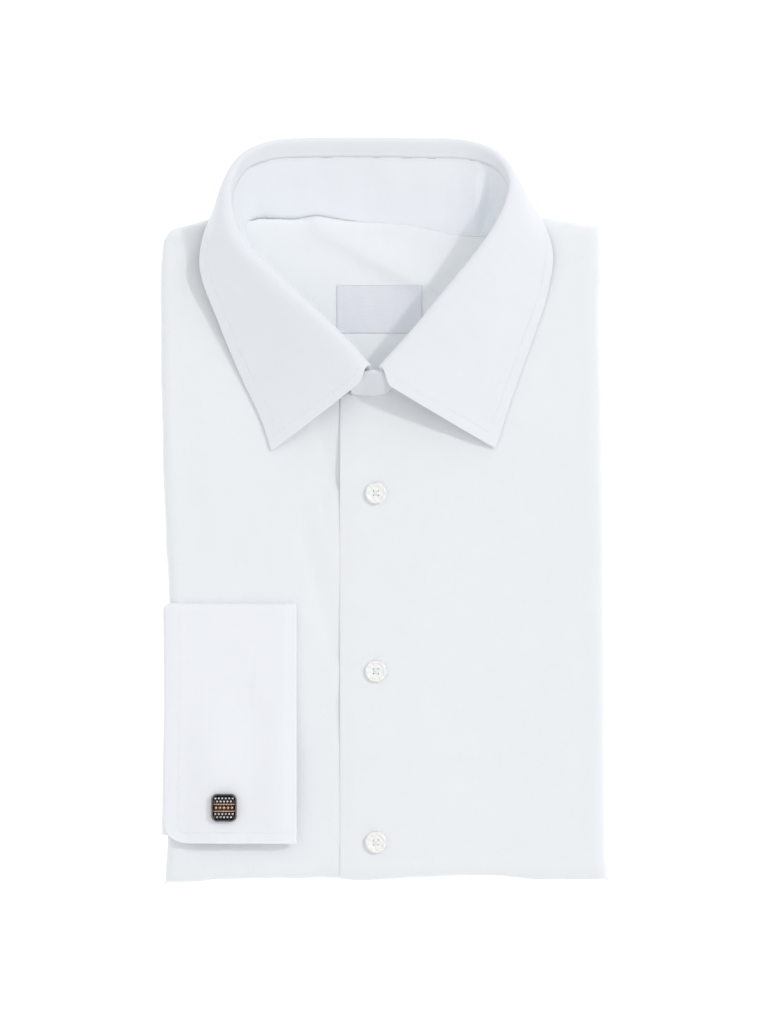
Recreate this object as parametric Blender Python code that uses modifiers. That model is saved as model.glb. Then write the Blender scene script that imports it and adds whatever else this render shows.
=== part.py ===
"""A white long sleeve dress shirt, folded and lying on its back.

The folded pack is one rounded solid. The two fronts, the yoke, the collar, the sleeve and the
French cuff are walls of cloth laid on it, each worked out from the pack's own surface.
Sizes are in millimetres and become metres where a mesh is made. +X is the wearer's left,
+Y runs towards the collar and +Z up from the surface that the shirt lies on.
"""

import math

import bmesh
import bpy
from mathutils import Vector

MM = 0.001

# Cloth and seams
CLOTH = 1.2            # wall of a front, the yoke or the sleeve
COLLAR_WALL = 1.4      # wall of the collar leaf and of the neckband
CUFF_WALL = 1.1        # wall of one layer of the cuff
GAP = 0.4              # clearance between layers that lie on each other
SEAM = 0.35            # clearance where two pieces are sewn
FRONT_OUT = GAP + CLOTH
HIDDEN_INSET = 0.5     # the hidden layers lie this much inside the pack's skin

# The folded pack
ROLL = 8.0             # radius of the folds at the sides, the shoulders and the hem
MID_HEIGHT = 10.5      # height of the widest line of the folds
HALF_HEIGHT = 8.0      # rise from that line to the top, near the edges
CROWN = 2.6            # further rise in the middle of the pack
CROWN_WIDTH = 128.0
CROWN_LENGTH = 215.0
CROWN_MIDDLE_Y = -25.0
UNDER_HALF = 6.0       # drop from the widest line to where a front turns under
SLACK = 1.9            # air between the fronts and the hidden layers
SLACK_FROM_SIDE = [22.0, 46.0]           # it starts and is full this far in from the sides
SLACK_FROM_ENDS = 24.0
FLAT = 90.0            # angle of the pack's top, counted from the widest line of a fold
FOLD_ANGLES = [0.0, 23.0, 45.0, 67.0]
TURN_UNDER = [-45.0, -23.0]
CORNER_NOTCH = 60.0    # the turned-under cloth starts this far round from a corner
INNER_LIMITS = [-106.0, 106.0, -188.0, 140.0]   # left, right, hem and shoulder end of the flat top

# Outline of the fronts from above, at the side folds
SIDES = [
    # y,      left,   right
    (-204.0, -122.2, 124.5),
    (-197.0, -120.9, 122.3),
    (-185.0, -119.3, 120.9),
    (-120.0, -118.9, 120.6),
    (-45.0, -118.6, 120.3),
    (-16.0, -120.2, 120.2),
    (28.0, -121.4, 119.8),
    (72.0, -122.6, 119.2),
    (116.0, -122.9, 118.4),
    (142.0, -121.9, 118.0),
    (160.0, -119.6, 117.0),
]
# and at the hem fold and the shoulder folds
ENDS = [
    # x,      hem,    shoulder
    (-122.0, -205.0, 152.6),
    (-112.0, -204.6, 156.4),
    (-104.0, -204.2, 158.8),
    (-92.0, -203.0, 161.6),
    (-46.0, -202.3, 161.2),
    (-10.0, -203.2, 160.0),
    (22.0, -201.0, 160.4),
    (60.0, -200.8, 161.4),
    (86.0, -203.0, 161.8),
    (103.0, -203.4, 159.4),
    (111.0, -203.2, 157.2),
    (123.0, -203.4, 153.2),
]
# Folded edges below the fronts: the sleeve and the tails, one bulge for each
UNDER_EDGES = [
    # inset, height
    (0.9, 8.2),
    (2.6, 6.3),
    (5.6, 5.3),
    (3.6, 4.7),
    (2.7, 3.9),
    (3.4, 3.1),
    (5.4, 2.6),
    (3.0, 2.1),
    (2.1, 1.2),
    (3.2, 0.0),
]
SLEEVE_BULGE = 0.8     # share of the inset that the wrapped sleeve fills
SLEEVE_BULGE_RAMP = 8.0

# Front opening
LAP_EDGE_X = -23.9     # finished edge of the left front
UNDERLAP_X = 12.4      # hidden edge of the right front
LAP_RAMP = 13.0
LAP_WAVE_WIDTH = 22.0
LAP_WAVES = [
    # y,     rise, length
    (24.0, 1.9, 20.0),
    (-108.0, 0.8, 16.0),
    (-190.0, 0.4, 10.0),
]

# Soft troughs in the fronts, from one end to the other
FRONT_FOLDS = [
    # x1,   y1,    x2,    y2,    depth, half width
    (-36.0, 44.0, -26.0, 18.0, 1.3, 7.0),
    (-44.0, -14.0, -27.0, -78.0, 0.8, 8.0),
    (-96.0, 142.0, -108.0, 126.0, 0.7, 9.0),
    (78.0, -60.0, 98.0, 10.0, 0.6, 14.0),
]

# Neck
NECK_DROP_FRONT = 2.6  # how far the yoke lies below the fronts
NECK_DROP_BACK = 5.2
NECK_SPAN = [-84.0, 72.0, 66.0, 175.0]   # left, right, front and back of the lowered part
NECK_RAMP = 16.0
NECK_BACK_Y = 130.0
NECK_MIDDLE = Vector((-8.0, 118.0))
NECK_LEDGE = 1.0       # the fronts reach this far inside the neckband
NECK_CUT_BACK = 14.0   # the cut passes this far behind the seam at the back
NECK_CUT_PLACES = [0.33, 0.44]           # collar places between which it comes in to the seam
NECK_CUTTER_Z = 20.0
NECK_CUTTER_HALF = 30.0
YOKE_SPAN = [-78.0, 64.0, 72.0]          # left, right and front edges of the yoke
YOKE_BACK_X = [-68.0, 44.0]              # between these it reaches on to the neckband
YOKE_ANGLES = [90.0, 67.0, 45.0, 30.0]   # round the shoulder fold
YOKE_CORNER_ANGLE = 40.0                 # outside YOKE_BACK_X it stops at this angle
BAND_REST = 1.2        # neckband's seam edge above the cloth it is sewn to

# Collar, from its right end round the back of the neck to its left end.
# Each row is one section: the seam on the shirt, the fold, and the edge of the leaf.
COLLAR = [
    # place, seam_x, seam_y, fold_x, fold_y, fold_z, edge_x, edge_y, edge_z
    (-1.00, -6.8, 67.5, -8.2, 79.6, 45.0, -63.5, 33.0, 23.2),
    (-0.90, -18.4, 78.0, -17.3, 90.2, 46.5, -70.1, 51.7, 23.0),
    (-0.78, -36.0, 96.0, -32.2, 105.1, 47.5, -79.5, 73.2, 22.9),
    (-0.64, -56.4, 126.5, -59.7, 129.8, 48.0, -92.1, 104.0, 26.0),
    (-0.53, -73.0, 146.0, -80.6, 150.7, 47.5, -102.0, 133.7, 29.0),
    (-0.44, -76.0, 156.5, -88.8, 175.5, 45.0, -99.6, 157.5, 24.0),
    (-0.36, -70.0, 161.0, -80.6, 194.2, 38.0, -88.8, 169.5, 10.0),
    (-0.27, -58.0, 161.0, -63.5, 202.4, 34.0, -66.8, 170.5, 2.0),
    (-0.14, -36.0, 160.0, -39.3, 204.3, 31.5, -38.8, 170.0, 1.6),
    (0.00, -10.2, 158.4, -10.2, 204.6, 31.0, -10.2, 169.5, 1.6),
    (0.14, 14.6, 155.7, 19.0, 204.3, 31.0, 19.0, 169.5, 1.6),
    (0.27, 37.7, 152.2, 45.4, 203.0, 31.5, 49.8, 170.0, 2.0),
    (0.36, 50.9, 151.2, 61.9, 196.4, 36.5, 71.8, 169.8, 9.0),
    (0.44, 58.0, 150.9, 70.1, 183.7, 44.0, 84.4, 164.5, 18.5),
    (0.53, 62.0, 143.6, 67.4, 167.8, 47.5, 92.7, 142.5, 23.0),
    (0.64, 59.0, 133.0, 55.8, 147.4, 48.5, 89.4, 117.7, 22.3),
    (0.78, 40.0, 110.0, 34.9, 121.6, 48.0, 80.6, 90.8, 22.5),
    (0.90, 21.5, 86.0, 15.7, 98.5, 46.5, 70.1, 61.1, 22.9),
    (1.00, 3.4, 65.0, -1.8, 79.0, 45.0, 60.2, 34.1, 23.3),
]
# The neckband's left end goes on past the leaf and laps over its right end
BAND_LAP = [
    # place, seam_x, seam_y, top_x, top_y, top_z
    (1.00, 0.3, 62.0, -1.4, 76.0, 41.1),
    (1.05, -5.6, 61.0, -6.8, 71.9, 37.0),
    (1.10, -11.6, 60.6, -12.2, 69.2, 33.2),
    (1.14, -16.2, 60.6, -16.2, 65.6, 28.4),
]
COLLAR_STEPS = 60
FRONT_PLACES = [0.30, 0.44]              # the seam passes from the yoke to the fronts here
RISE_PLACES = [0.20, 0.60]               # and the leaf's rise changes here
LAP_START = 0.96
LEAF_RISE_BACK = 11.0  # leaf above the neckband, at the back of the neck
LEAF_RISE_FRONT = 4.5  # and at the front
FOLD_ROUND = 4.2       # size of the roll along the fold
FOLD_REACH = 13.0
LEAF_CLEAR = 1.3       # leaf's middle surface above the fronts

# Label
LABEL_SPAN = [-25.6, 21.2, 97.9, 124.3]   # left, right, front and back
LABEL_THICK = 0.7

# Right sleeve and cuff, wrapped round the right side of the shirt
CUFF_FOLD_X = -47.6    # turned-back fold, at the hand's end
CUFF_KISS_Y = -182.6   # the edges that the link holds together
CUFF_TOP_Y = -51.2     # fold of the flattened tube, opposite
CUFF_CORNER = 9.0
CUFF_CORNER_REACH = 4.0
CUFF_INNER = 0.85      # half distance between the inner layers
CUFF_OUTER = 2.6       # half distance between the turned-back layers
CUFF_REST = 0.4
CUFF_TILT = 4.4        # rise of the kissing edges over the link's toggle
CUFF_TILT_X = [-109.0, -95.0]
CUFF_TILT_Y = [92.0, 150.0]              # distance from y = 0 towards the hem
CUFF_ROUND = 13.6      # mean radius of the cuff where it goes round the side
CUFF_END_ANGLE = 44.0  # where the turned-back layers end, round the side fold
CUFF_SEAM_ANGLE = 16.0
SLEEVE_END_ANGLE = -42.0
SLEEVE_UNDER_HEIGHT = 3.0
SLEEVE_Y = [-178.0, -54.5]

# Cufflink
LINK_X = -87.5
LINK_Y = -162.8
LINK_WIDTH = 14.0
LINK_LENGTH = 15.4
LINK_THICK = 2.8
LINK_CORNER = 3.2
LINK_EDGE = 0.5
POST_RADIUS = 1.5
POST_HOLE = 2.1
TOGGLE_LENGTH = 15.0
TOGGLE_RADIUS = 1.7
TOGGLE_EDGE = 0.8

# Buttons
BUTTON_X = -4.1
BUTTON_YS = [9.9, -88.0, -182.1]
BUTTON_RADIUS = 5.9
BUTTON_THICK = 2.3
BUTTON_RIM = 1.1
BUTTON_DISH = 0.5
BUTTON_HOLE_RADIUS = 0.65
BUTTON_HOLE_SPACING = 1.25
BUTTON_SIDES = 20

WHITE = (0.86, 0.88, 0.90)
PEARL = (0.83, 0.82, 0.78)
LABEL_GREY = (0.70, 0.71, 0.76)
SILVER = (0.50, 0.49, 0.47)


# ---------------------------------------------------------------- small helpers

def table_value(table, column, place):
    """A column of a table at a place, on a smooth curve through its rows."""
    last = len(table) - 1
    place = min(max(place, table[0][0]), table[last][0])
    row = 0
    while row < last - 1 and place > table[row + 1][0]:
        row += 1
    x0, x1 = table[row][0], table[row + 1][0]
    y0, y1 = table[row][column], table[row + 1][column]
    start_slope = end_slope = (y1 - y0) / (x1 - x0)
    if row > 0:
        start_slope = (y1 - table[row - 1][column]) / (x1 - table[row - 1][0])
    if row < last - 1:
        end_slope = (table[row + 2][column] - y0) / (table[row + 2][0] - x0)
    span = x1 - x0
    t = (place - x0) / span
    return ((2 * t**3 - 3 * t**2 + 1) * y0 + (t**3 - 2 * t**2 + t) * span * start_slope
            + (3 * t**2 - 2 * t**3) * y1 + (t**3 - t**2) * span * end_slope)


def smooth_step(value, low, high):
    t = min(max((value - low) / (high - low), 0.0), 1.0)
    return t * t * (3.0 - 2.0 * t)


def blend(a, b, t):
    return a + (b - a) * t


def spread(low, high, count):
    """Evenly spaced values from low to high, both included."""
    return [blend(low, high, k / (count - 1)) for k in range(count)]


def finish_material(name, colour, roughness, metallic=0.0):
    material = bpy.data.materials.new(name)
    material.use_nodes = True
    shader = material.node_tree.nodes["Principled BSDF"]
    shader.inputs["Base Color"].default_value = (*colour, 1.0)
    shader.inputs["Roughness"].default_value = roughness
    shader.inputs["Metallic"].default_value = metallic
    material.diffuse_color = (*colour, 1.0)
    return material


def add_object(name, mesh, material, collection):
    piece = bpy.data.objects.new(name, mesh)
    if material and not mesh.materials:
        mesh.materials.append(material)
    collection.objects.link(piece)
    return piece


def sheet_mesh(name, columns, rows, place):
    """A grid of cloth, each point put in place by a function of its column and row.

    Where the function gives no point, the cloth has a notch.
    """
    bm = bmesh.new()
    across = len(columns) - 1
    along = len(rows) - 1
    bmesh.ops.create_grid(bm, x_segments=across, y_segments=along, size=1.0)
    for vert in list(bm.verts):
        column = columns[round((vert.co.x + 1.0) / 2.0 * across)]
        row = rows[round((vert.co.y + 1.0) / 2.0 * along)]
        point = place(column, row)
        if point is None:
            bm.verts.remove(vert)
        else:
            vert.co = Vector(point) * MM
    bmesh.ops.remove_doubles(bm, verts=bm.verts, dist=0.005 * MM)
    mesh = bpy.data.meshes.new(name)
    bm.to_mesh(mesh)
    bm.free()
    mesh.shade_smooth()
    return mesh


def thicken(piece, thickness, offset):
    wall = piece.modifiers.new("Wall", "SOLIDIFY")
    wall.thickness = thickness * MM
    wall.offset = offset
    wall.use_even_offset = True


def cut(piece, cutter):
    hole = piece.modifiers.new("Cut", "BOOLEAN")
    hole.operation = "DIFFERENCE"
    hole.object = cutter


def add_cutter(name, mesh, collection):
    cutter = add_object(name, mesh, None, collection)
    cutter.hide_render = True
    cutter.display_type = "WIRE"
    return cutter


# ---------------------------------------------------------------- the pack's surface
#
# A place across the pack, or along it, is a pair. The first value is "low" or "high" at a fold,
# or a distance in millimetres on the flat top. The second is the angle round the fold.

def fold_centre(table, column, place):
    """Where the roll of a fold is centred: column 1 holds the low fold and column 2 the high."""
    inward = ROLL + FRONT_OUT if column == 1 else -ROLL - FRONT_OUT
    return table_value(table, column, place) + inward


def flat_value(where, table, place):
    if where == "low":
        return fold_centre(table, 1, place)
    if where == "high":
        return fold_centre(table, 2, place)
    return where


def half_height(x, y):
    """Rise of the pack's top above the widest line of its folds."""
    across = 1.0 - (x / CROWN_WIDTH) ** 2
    along = 1.0 - ((y - CROWN_MIDDLE_Y) / CROWN_LENGTH) ** 2
    return HALF_HEIGHT + CROWN * max(across, 0.0) * max(along, 0.0)


def flat_point(across, along):
    """The point of the flat top that a place belongs to."""
    y_ends = {"low": SIDES[0][0] + ROLL, "high": SIDES[-1][0] - ROLL}
    x = flat_value(across[0], SIDES, y_ends.get(along[0], along[0]))
    y = flat_value(along[0], ENDS, x)
    return x, y


def pack_point(across, along, lift):
    """A point of the pack's skin, moved out by lift."""
    x, y = flat_point(across, along)
    outward = {"low": -1.0, "high": 1.0}
    reach = ROLL + lift
    out_x = outward.get(across[0], 0.0) * reach * math.cos(math.radians(across[1]))
    out_y = outward.get(along[0], 0.0) * reach * math.cos(math.radians(along[1]))
    rise_x = math.sin(math.radians(across[1]))
    rise_y = math.sin(math.radians(along[1]))
    if min(rise_x, rise_y) < 0.0:
        rise = min(rise_x, rise_y) * (UNDER_HALF + lift)
    else:
        rise = rise_x * rise_y * (half_height(x, y) + lift)
    return x + out_x, y + out_y, MID_HEIGHT + rise


def place_on_axis(value, table, place):
    """The pair for a distance across or along the pack, seen from above."""
    low = fold_centre(table, 1, place)
    high = fold_centre(table, 2, place)
    reach = ROLL + FRONT_OUT
    if value < low:
        return "low", math.degrees(math.acos(min((low - value) / reach, 1.0)))
    if value > high:
        return "high", math.degrees(math.acos(min((value - high) / reach, 1.0)))
    return value, FLAT


def skin_height(x, y, lift):
    """Height of the pack's skin, moved out by lift, over a point seen from above."""
    return pack_point(place_on_axis(x, SIDES, y), place_on_axis(y, ENDS, x), lift)[2]


def inside_neck(x, y):
    """1 where the yoke lies, falling to 0 over a ramp round it."""
    left, right, front, back = NECK_SPAN
    inside = smooth_step(x, left - NECK_RAMP, left) * smooth_step(-x, -right - NECK_RAMP, -right)
    return inside * (smooth_step(y, front - NECK_RAMP, front)
                     * smooth_step(-y, -back - NECK_RAMP, -back))


def neck_depth(x, y):
    """How far the hidden layers lie lower inside the neck."""
    towards_back = smooth_step(y, NECK_SPAN[2], NECK_BACK_Y)
    return inside_neck(x, y) * blend(NECK_DROP_FRONT, NECK_DROP_BACK, towards_back)


def slack_depth(x, y):
    """Air under the fronts, where the hidden layers are soft, away from folds and neck."""
    hem, shoulder = INNER_LIMITS[2:]
    across = smooth_step(CROWN_WIDTH - abs(x), *SLACK_FROM_SIDE)
    along = smooth_step(y, hem, hem + SLACK_FROM_ENDS)
    along *= smooth_step(-y, -shoulder, SLACK_FROM_ENDS - shoulder)
    return SLACK * across * along * (1.0 - inside_neck(x, y))


def front_fold_depth(x, y):
    """Depth of the soft troughs in the fronts."""
    total = 0.0
    for x1, y1, x2, y2, depth, half_width in FRONT_FOLDS:
        start = Vector((x1, y1))
        along = Vector((x2, y2)) - start
        t = (Vector((x, y)) - start).dot(along) / along.length_squared
        nearest = start + along * min(max(t, 0.0), 1.0)
        away = (Vector((x, y)) - nearest).length / half_width
        total += depth * math.exp(-away * away)
    return total


def lap_lift(x, y):
    """Rise of the left front where it lies over the right front."""
    ramp_start = UNDERLAP_X + 2.0
    rise = (CLOTH + GAP) * (1.0 - smooth_step(x, ramp_start, ramp_start + LAP_RAMP))
    near_edge = math.exp(-((x - LAP_EDGE_X) / LAP_WAVE_WIDTH) ** 2)
    for wave_y, wave_rise, wave_length in LAP_WAVES:
        rise += wave_rise * near_edge * math.exp(-((y - wave_y) / wave_length) ** 2)
    return rise


def fronts_top(x, y):
    """Height of the fronts' outer face."""
    lift = FRONT_OUT
    if x > LAP_EDGE_X:
        lift += lap_lift(x, y)
    return skin_height(x, y, lift)


def yoke_top(x, y):
    """Height of the yoke's inner face, which shows inside the neck."""
    along = place_on_axis(y, ENDS, x)
    return skin_height(x, y, FRONT_OUT) - neck_depth(x, y) * math.sin(math.radians(along[1]))


# ---------------------------------------------------------------- hidden layers

def make_folded_body(collection):
    """Back, tails, left sleeve and folded-in sides, as one rounded solid with layered edges."""
    left, right, hem, shoulder = INNER_LIMITS
    neck_left, neck_right, neck_front = NECK_SPAN[:3]
    flat_columns = ([left, neck_left - NECK_RAMP] + spread(neck_left, neck_right, 6)
                    + [neck_right + NECK_RAMP, right])
    flat_rows = spread(hem, neck_front - NECK_RAMP, 9) + spread(neck_front, shoulder, 5)
    levels = list(range(len(UNDER_EDGES), 0, -1))

    def places(flat_places):
        """Places from one underside edge, over the top, to the other; each with its level."""
        fold = [(angle, 0) for angle in FOLD_ANGLES] + [(FLAT, 0)]
        under = [(0.0, level) for level in levels]
        low_side = [("low", angle, level) for angle, level in under + fold]
        high_side = [("high", angle, level) for angle, level in reversed(under + fold)]
        return low_side + [(value, FLAT, 0) for value in flat_places] + high_side

    def place(column, row):
        x, y, z = pack_point(column[:2], row[:2], -HIDDEN_INSET)
        level = max(column[2], row[2])
        if level == 0:
            rise = math.sin(math.radians(row[1]))
            return x, y, z - neck_depth(x, y) * rise - slack_depth(x, y)
        inset, height = UNDER_EDGES[level - 1]
        flat_x, flat_y = flat_point(column[:2], row[:2])
        spread_out = 0.0
        if column[0] == "low" and height < SLEEVE_UNDER_HEIGHT:
            low, high = SLEEVE_Y
            spread_out = smooth_step(y, low - SLEEVE_BULGE_RAMP, low)
            spread_out *= smooth_step(-y, -high - SLEEVE_BULGE_RAMP, -high)
        inset_x = inset * (1.0 - SLEEVE_BULGE * spread_out) - ROLL
        x = max(x, fold_centre(SIDES, 1, flat_y) + inset_x)
        x = min(x, fold_centre(SIDES, 2, flat_y) + ROLL - inset)
        y = max(y, fold_centre(ENDS, 1, flat_x) + inset - ROLL)
        y = min(y, fold_centre(ENDS, 2, flat_x) + ROLL - inset)
        return x, y, height

    mesh = sheet_mesh("folded_body", places(flat_columns), places(flat_rows), place)
    bm = bmesh.new()
    bm.from_mesh(mesh)
    bmesh.ops.dissolve_degenerate(bm, edges=bm.edges, dist=0.001 * MM)
    rim = [edge for edge in bm.edges if edge.is_boundary]
    bmesh.ops.holes_fill(bm, edges=rim, sides=0)
    bm.to_mesh(mesh)
    bm.free()
    return add_object("folded_body", mesh, finish_material("hidden_cloth", WHITE, 0.85), collection)


# ---------------------------------------------------------------- fronts and yoke

def neck_outline():
    """The neck hole in the fronts: along the collar's seam, and clear of it at the back."""
    points = []
    for k in range(41):
        place = blend(-1.0, 1.0, k / 40)
        x = table_value(COLLAR, 1, place)
        y = table_value(COLLAR, 2, place)
        beside = smooth_step(abs(place), *NECK_CUT_PLACES)
        inward = (NECK_MIDDLE - Vector((x, y))).normalized() * NECK_LEDGE * beside
        points.append((x + inward.x, y + inward.y + NECK_CUT_BACK * (1.0 - beside)))
    return points


def make_neck_cutter(collection):
    outline = bpy.data.curves.new("neck_cutter", "CURVE")
    outline.dimensions = "2D"
    outline.fill_mode = "BOTH"
    outline.extrude = NECK_CUTTER_HALF * MM
    spline = outline.splines.new("POLY")
    points = neck_outline()
    spline.points.add(len(points) - 1)
    for point, (x, y) in zip(spline.points, points):
        point.co = (x * MM, y * MM, 0.0, 1.0)
    spline.use_cyclic_u = True
    flat = bpy.data.objects.new("neck_outline", outline)
    flat.location.z = NECK_CUTTER_Z * MM
    collection.objects.link(flat)
    bpy.context.view_layer.update()
    graph = bpy.context.evaluated_depsgraph_get()
    mesh = bpy.data.meshes.new_from_object(flat.evaluated_get(graph))
    bm = bmesh.new()
    bm.from_mesh(mesh)
    bmesh.ops.remove_doubles(bm, verts=bm.verts, dist=0.01 * MM)
    bmesh.ops.recalc_face_normals(bm, faces=bm.faces)
    bm.to_mesh(mesh)
    bm.free()
    cutter = add_cutter("neck_cutter", mesh, collection)
    cutter.matrix_world = flat.matrix_world
    bpy.data.objects.remove(flat)
    return cutter


def make_front(name, columns, lift_at, neck, collection):
    """One front: flat on top, round the side, the hem and the shoulder, and cut at the neck."""
    hem, shoulder = INNER_LIMITS[2:]
    round_fold = TURN_UNDER + FOLD_ANGLES + [FLAT]
    rows = ([("low", angle) for angle in round_fold]
            + [(y, FLAT) for y in spread(hem, shoulder, 23)]
            + [("high", angle) for angle in reversed(round_fold)])

    def place(column, row):
        if min(column[1], row[1]) < 0.0 and max(column[1], row[1]) < CORNER_NOTCH:
            return None
        flat = flat_point(column, row)
        x, y, z = pack_point(column, row, lift_at(*flat))
        top = max(math.sin(math.radians(row[1])), 0.0) * max(math.sin(math.radians(column[1])), 0.0)
        return x, y, z - front_fold_depth(x, y) * top

    mesh = sheet_mesh(name, columns, rows, place)
    piece = add_object(name, mesh, finish_material(name + "_cloth", WHITE, 0.8), collection)
    thicken(piece, CLOTH, 1.0)
    cut(piece, neck)
    return piece


def make_fronts(neck, collection):
    left, right = INNER_LIMITS[:2]
    round_fold = TURN_UNDER + FOLD_ANGLES + [FLAT]
    right_columns = ([("low", angle) for angle in round_fold]
                     + [(x, FLAT) for x in spread(left, UNDERLAP_X, 11)])
    left_columns = ([(x, FLAT) for x in spread(LAP_EDGE_X, UNDERLAP_X + 2.0, 5)]
                    + [(x, FLAT) for x in spread(UNDERLAP_X + 2.0 + LAP_RAMP / 2, right, 8)]
                    + [("high", angle) for angle in reversed(round_fold)])
    make_front("right_front", right_columns, lambda x, y: GAP, neck, collection)
    make_front("left_front", left_columns, lambda x, y: GAP + lap_lift(x, y), neck, collection)


def make_yoke(collection):
    """The back yoke, whose inner face shows inside the collar."""
    left, right, front = YOKE_SPAN
    columns = [(x, FLAT) for x in spread(left, right, 13)]
    rows = ([(y, FLAT) for y in spread(front, INNER_LIMITS[3], 7)]
            + [("high", angle) for angle in YOKE_ANGLES])

    def place(column, row):
        if row[1] < YOKE_CORNER_ANGLE and not YOKE_BACK_X[0] < column[0] < YOKE_BACK_X[1]:
            return None
        x, y, z = pack_point(column, row, GAP)
        return x, y, z - neck_depth(x, y) * math.sin(math.radians(row[1]))

    mesh = sheet_mesh("back_yoke", columns, rows, place)
    piece = add_object("back_yoke", mesh, finish_material("yoke_cloth", WHITE, 0.8), collection)
    thicken(piece, CLOTH, 1.0)


def make_label(collection):
    """The bare neck label, sewn on the yoke."""
    left, right, front, back = LABEL_SPAN
    columns = spread(left, right, 7)
    rows = spread(front, back, 5)
    mesh = sheet_mesh("neck_label", columns, rows, lambda x, y: (x, y, yoke_top(x, y) + GAP))
    material = finish_material("label_satin", LABEL_GREY, 0.5)
    thicken(add_object("neck_label", mesh, material, collection), LABEL_THICK, 1.0)


# ---------------------------------------------------------------- collar

def collar_frame(place):
    """Seam, fold and leaf edge of one section of the collar."""
    seam_x, seam_y, fold_x, fold_y, fold_z, edge_x, edge_y, edge_z = (
        table_value(COLLAR, column, place) for column in range(1, 9))
    at_front = smooth_step(abs(place), *FRONT_PLACES)
    seam_z = blend(yoke_top(seam_x, seam_y), fronts_top(seam_x, seam_y), at_front) + BAND_REST
    if edge_y < ENDS[3][2] - 1.0:
        edge_z = max(edge_z, fronts_top(edge_x, edge_y) + LEAF_CLEAR)
    return (Vector((seam_x, seam_y, seam_z)), Vector((fold_x, fold_y, fold_z)),
            Vector((edge_x, edge_y, edge_z)))


def leaf_rise(place):
    return blend(LEAF_RISE_BACK, LEAF_RISE_FRONT, smooth_step(abs(place), *RISE_PLACES))


def bezier(p0, p1, p2, p3, t):
    s = 1.0 - t
    return p0 * s**3 + p1 * 3 * s * s * t + p2 * 3 * s * t * t + p3 * t**3


def make_neckband(collection):
    """The stand of the collar, one strip from end to end, its left end lapping over the right."""
    last = BAND_LAP[-1][0]
    places = spread(-1.0, 1.0, COLLAR_STEPS + 1) + spread(1.0, last, 7)[1:]

    def place(place_u, height):
        if place_u <= 1.0:
            seam, fold, _ = collar_frame(place_u)
            up = fold - seam
            top = fold - up.normalized() * (leaf_rise(place_u) + SEAM)
        if place_u >= LAP_START:
            lap_u = max(place_u, 1.0)
            seam_x, seam_y, top_x, top_y, top_z = (
                table_value(BAND_LAP, column, lap_u) for column in range(1, 6))
            lap_seam = Vector((seam_x, seam_y, fronts_top(seam_x, seam_y) + BAND_REST))
            lap_top = Vector((top_x, top_y, top_z))
            if place_u <= 1.0:
                t = smooth_step(place_u, LAP_START, 1.0)
                seam = seam.lerp(lap_seam, t)
                top = top.lerp(lap_top, t)
            else:
                seam = lap_seam
                top = lap_top
        return seam.lerp(top, height)

    mesh = sheet_mesh("neckband", places, spread(0.0, 1.0, 4), place)
    piece = add_object("neckband", mesh, finish_material("neckband_cloth", WHITE, 0.75), collection)
    thicken(piece, COLLAR_WALL, 0.0)


def make_collar_leaf(collection):
    """The leaf: up from the neckband, over its fold and down to its edge and its two points."""
    rising = [-1.0, -0.66, -0.36, -0.14]
    falling = [0.0, 0.1, 0.2, 0.32, 0.5, 0.75, 1.0]

    def place(place_u, v):
        seam, fold, edge = collar_frame(place_u)
        up = (fold - seam).normalized()
        down = (edge - fold).normalized()
        turn = (up + down).normalized() * FOLD_ROUND
        if v < 0.0:
            rise = leaf_rise(place_u)
            start = fold - up * rise
            point = bezier(fold, fold - turn * 0.5, fold - up * rise * 0.5, start, -v)
        else:
            point = bezier(fold, fold + turn, fold + down * FOLD_REACH, edge, v)
        if v > 0.3 and point.y < ENDS[3][2] - 1.0:
            point.z = max(point.z, fronts_top(point.x, point.y) + LEAF_CLEAR)
        return point

    places = spread(-1.0, 1.0, COLLAR_STEPS + 1)
    mesh = sheet_mesh("collar_leaf", places, rising + falling, place)
    piece = add_object("collar_leaf", mesh, finish_material("collar_cloth", WHITE, 0.75), collection)
    thicken(piece, COLLAR_WALL, 0.0)


# ---------------------------------------------------------------- right sleeve and cuff

def round_side(distance, y):
    """The place across the pack at a distance from the centre of the left-hand side fold."""
    if distance >= 0.0:
        return fold_centre(SIDES, 1, y) + distance, FLAT
    return "low", FLAT + math.degrees(distance / CUFF_ROUND)


def distance_at(angle):
    return -math.radians(FLAT - angle) * CUFF_ROUND


def cuff_tilt(x, y):
    """Rise of the cuff over the link's toggle, towards the kissing edges."""
    return CUFF_TILT * smooth_step(-y, *CUFF_TILT_Y) * smooth_step(x, *CUFF_TILT_X)


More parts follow.
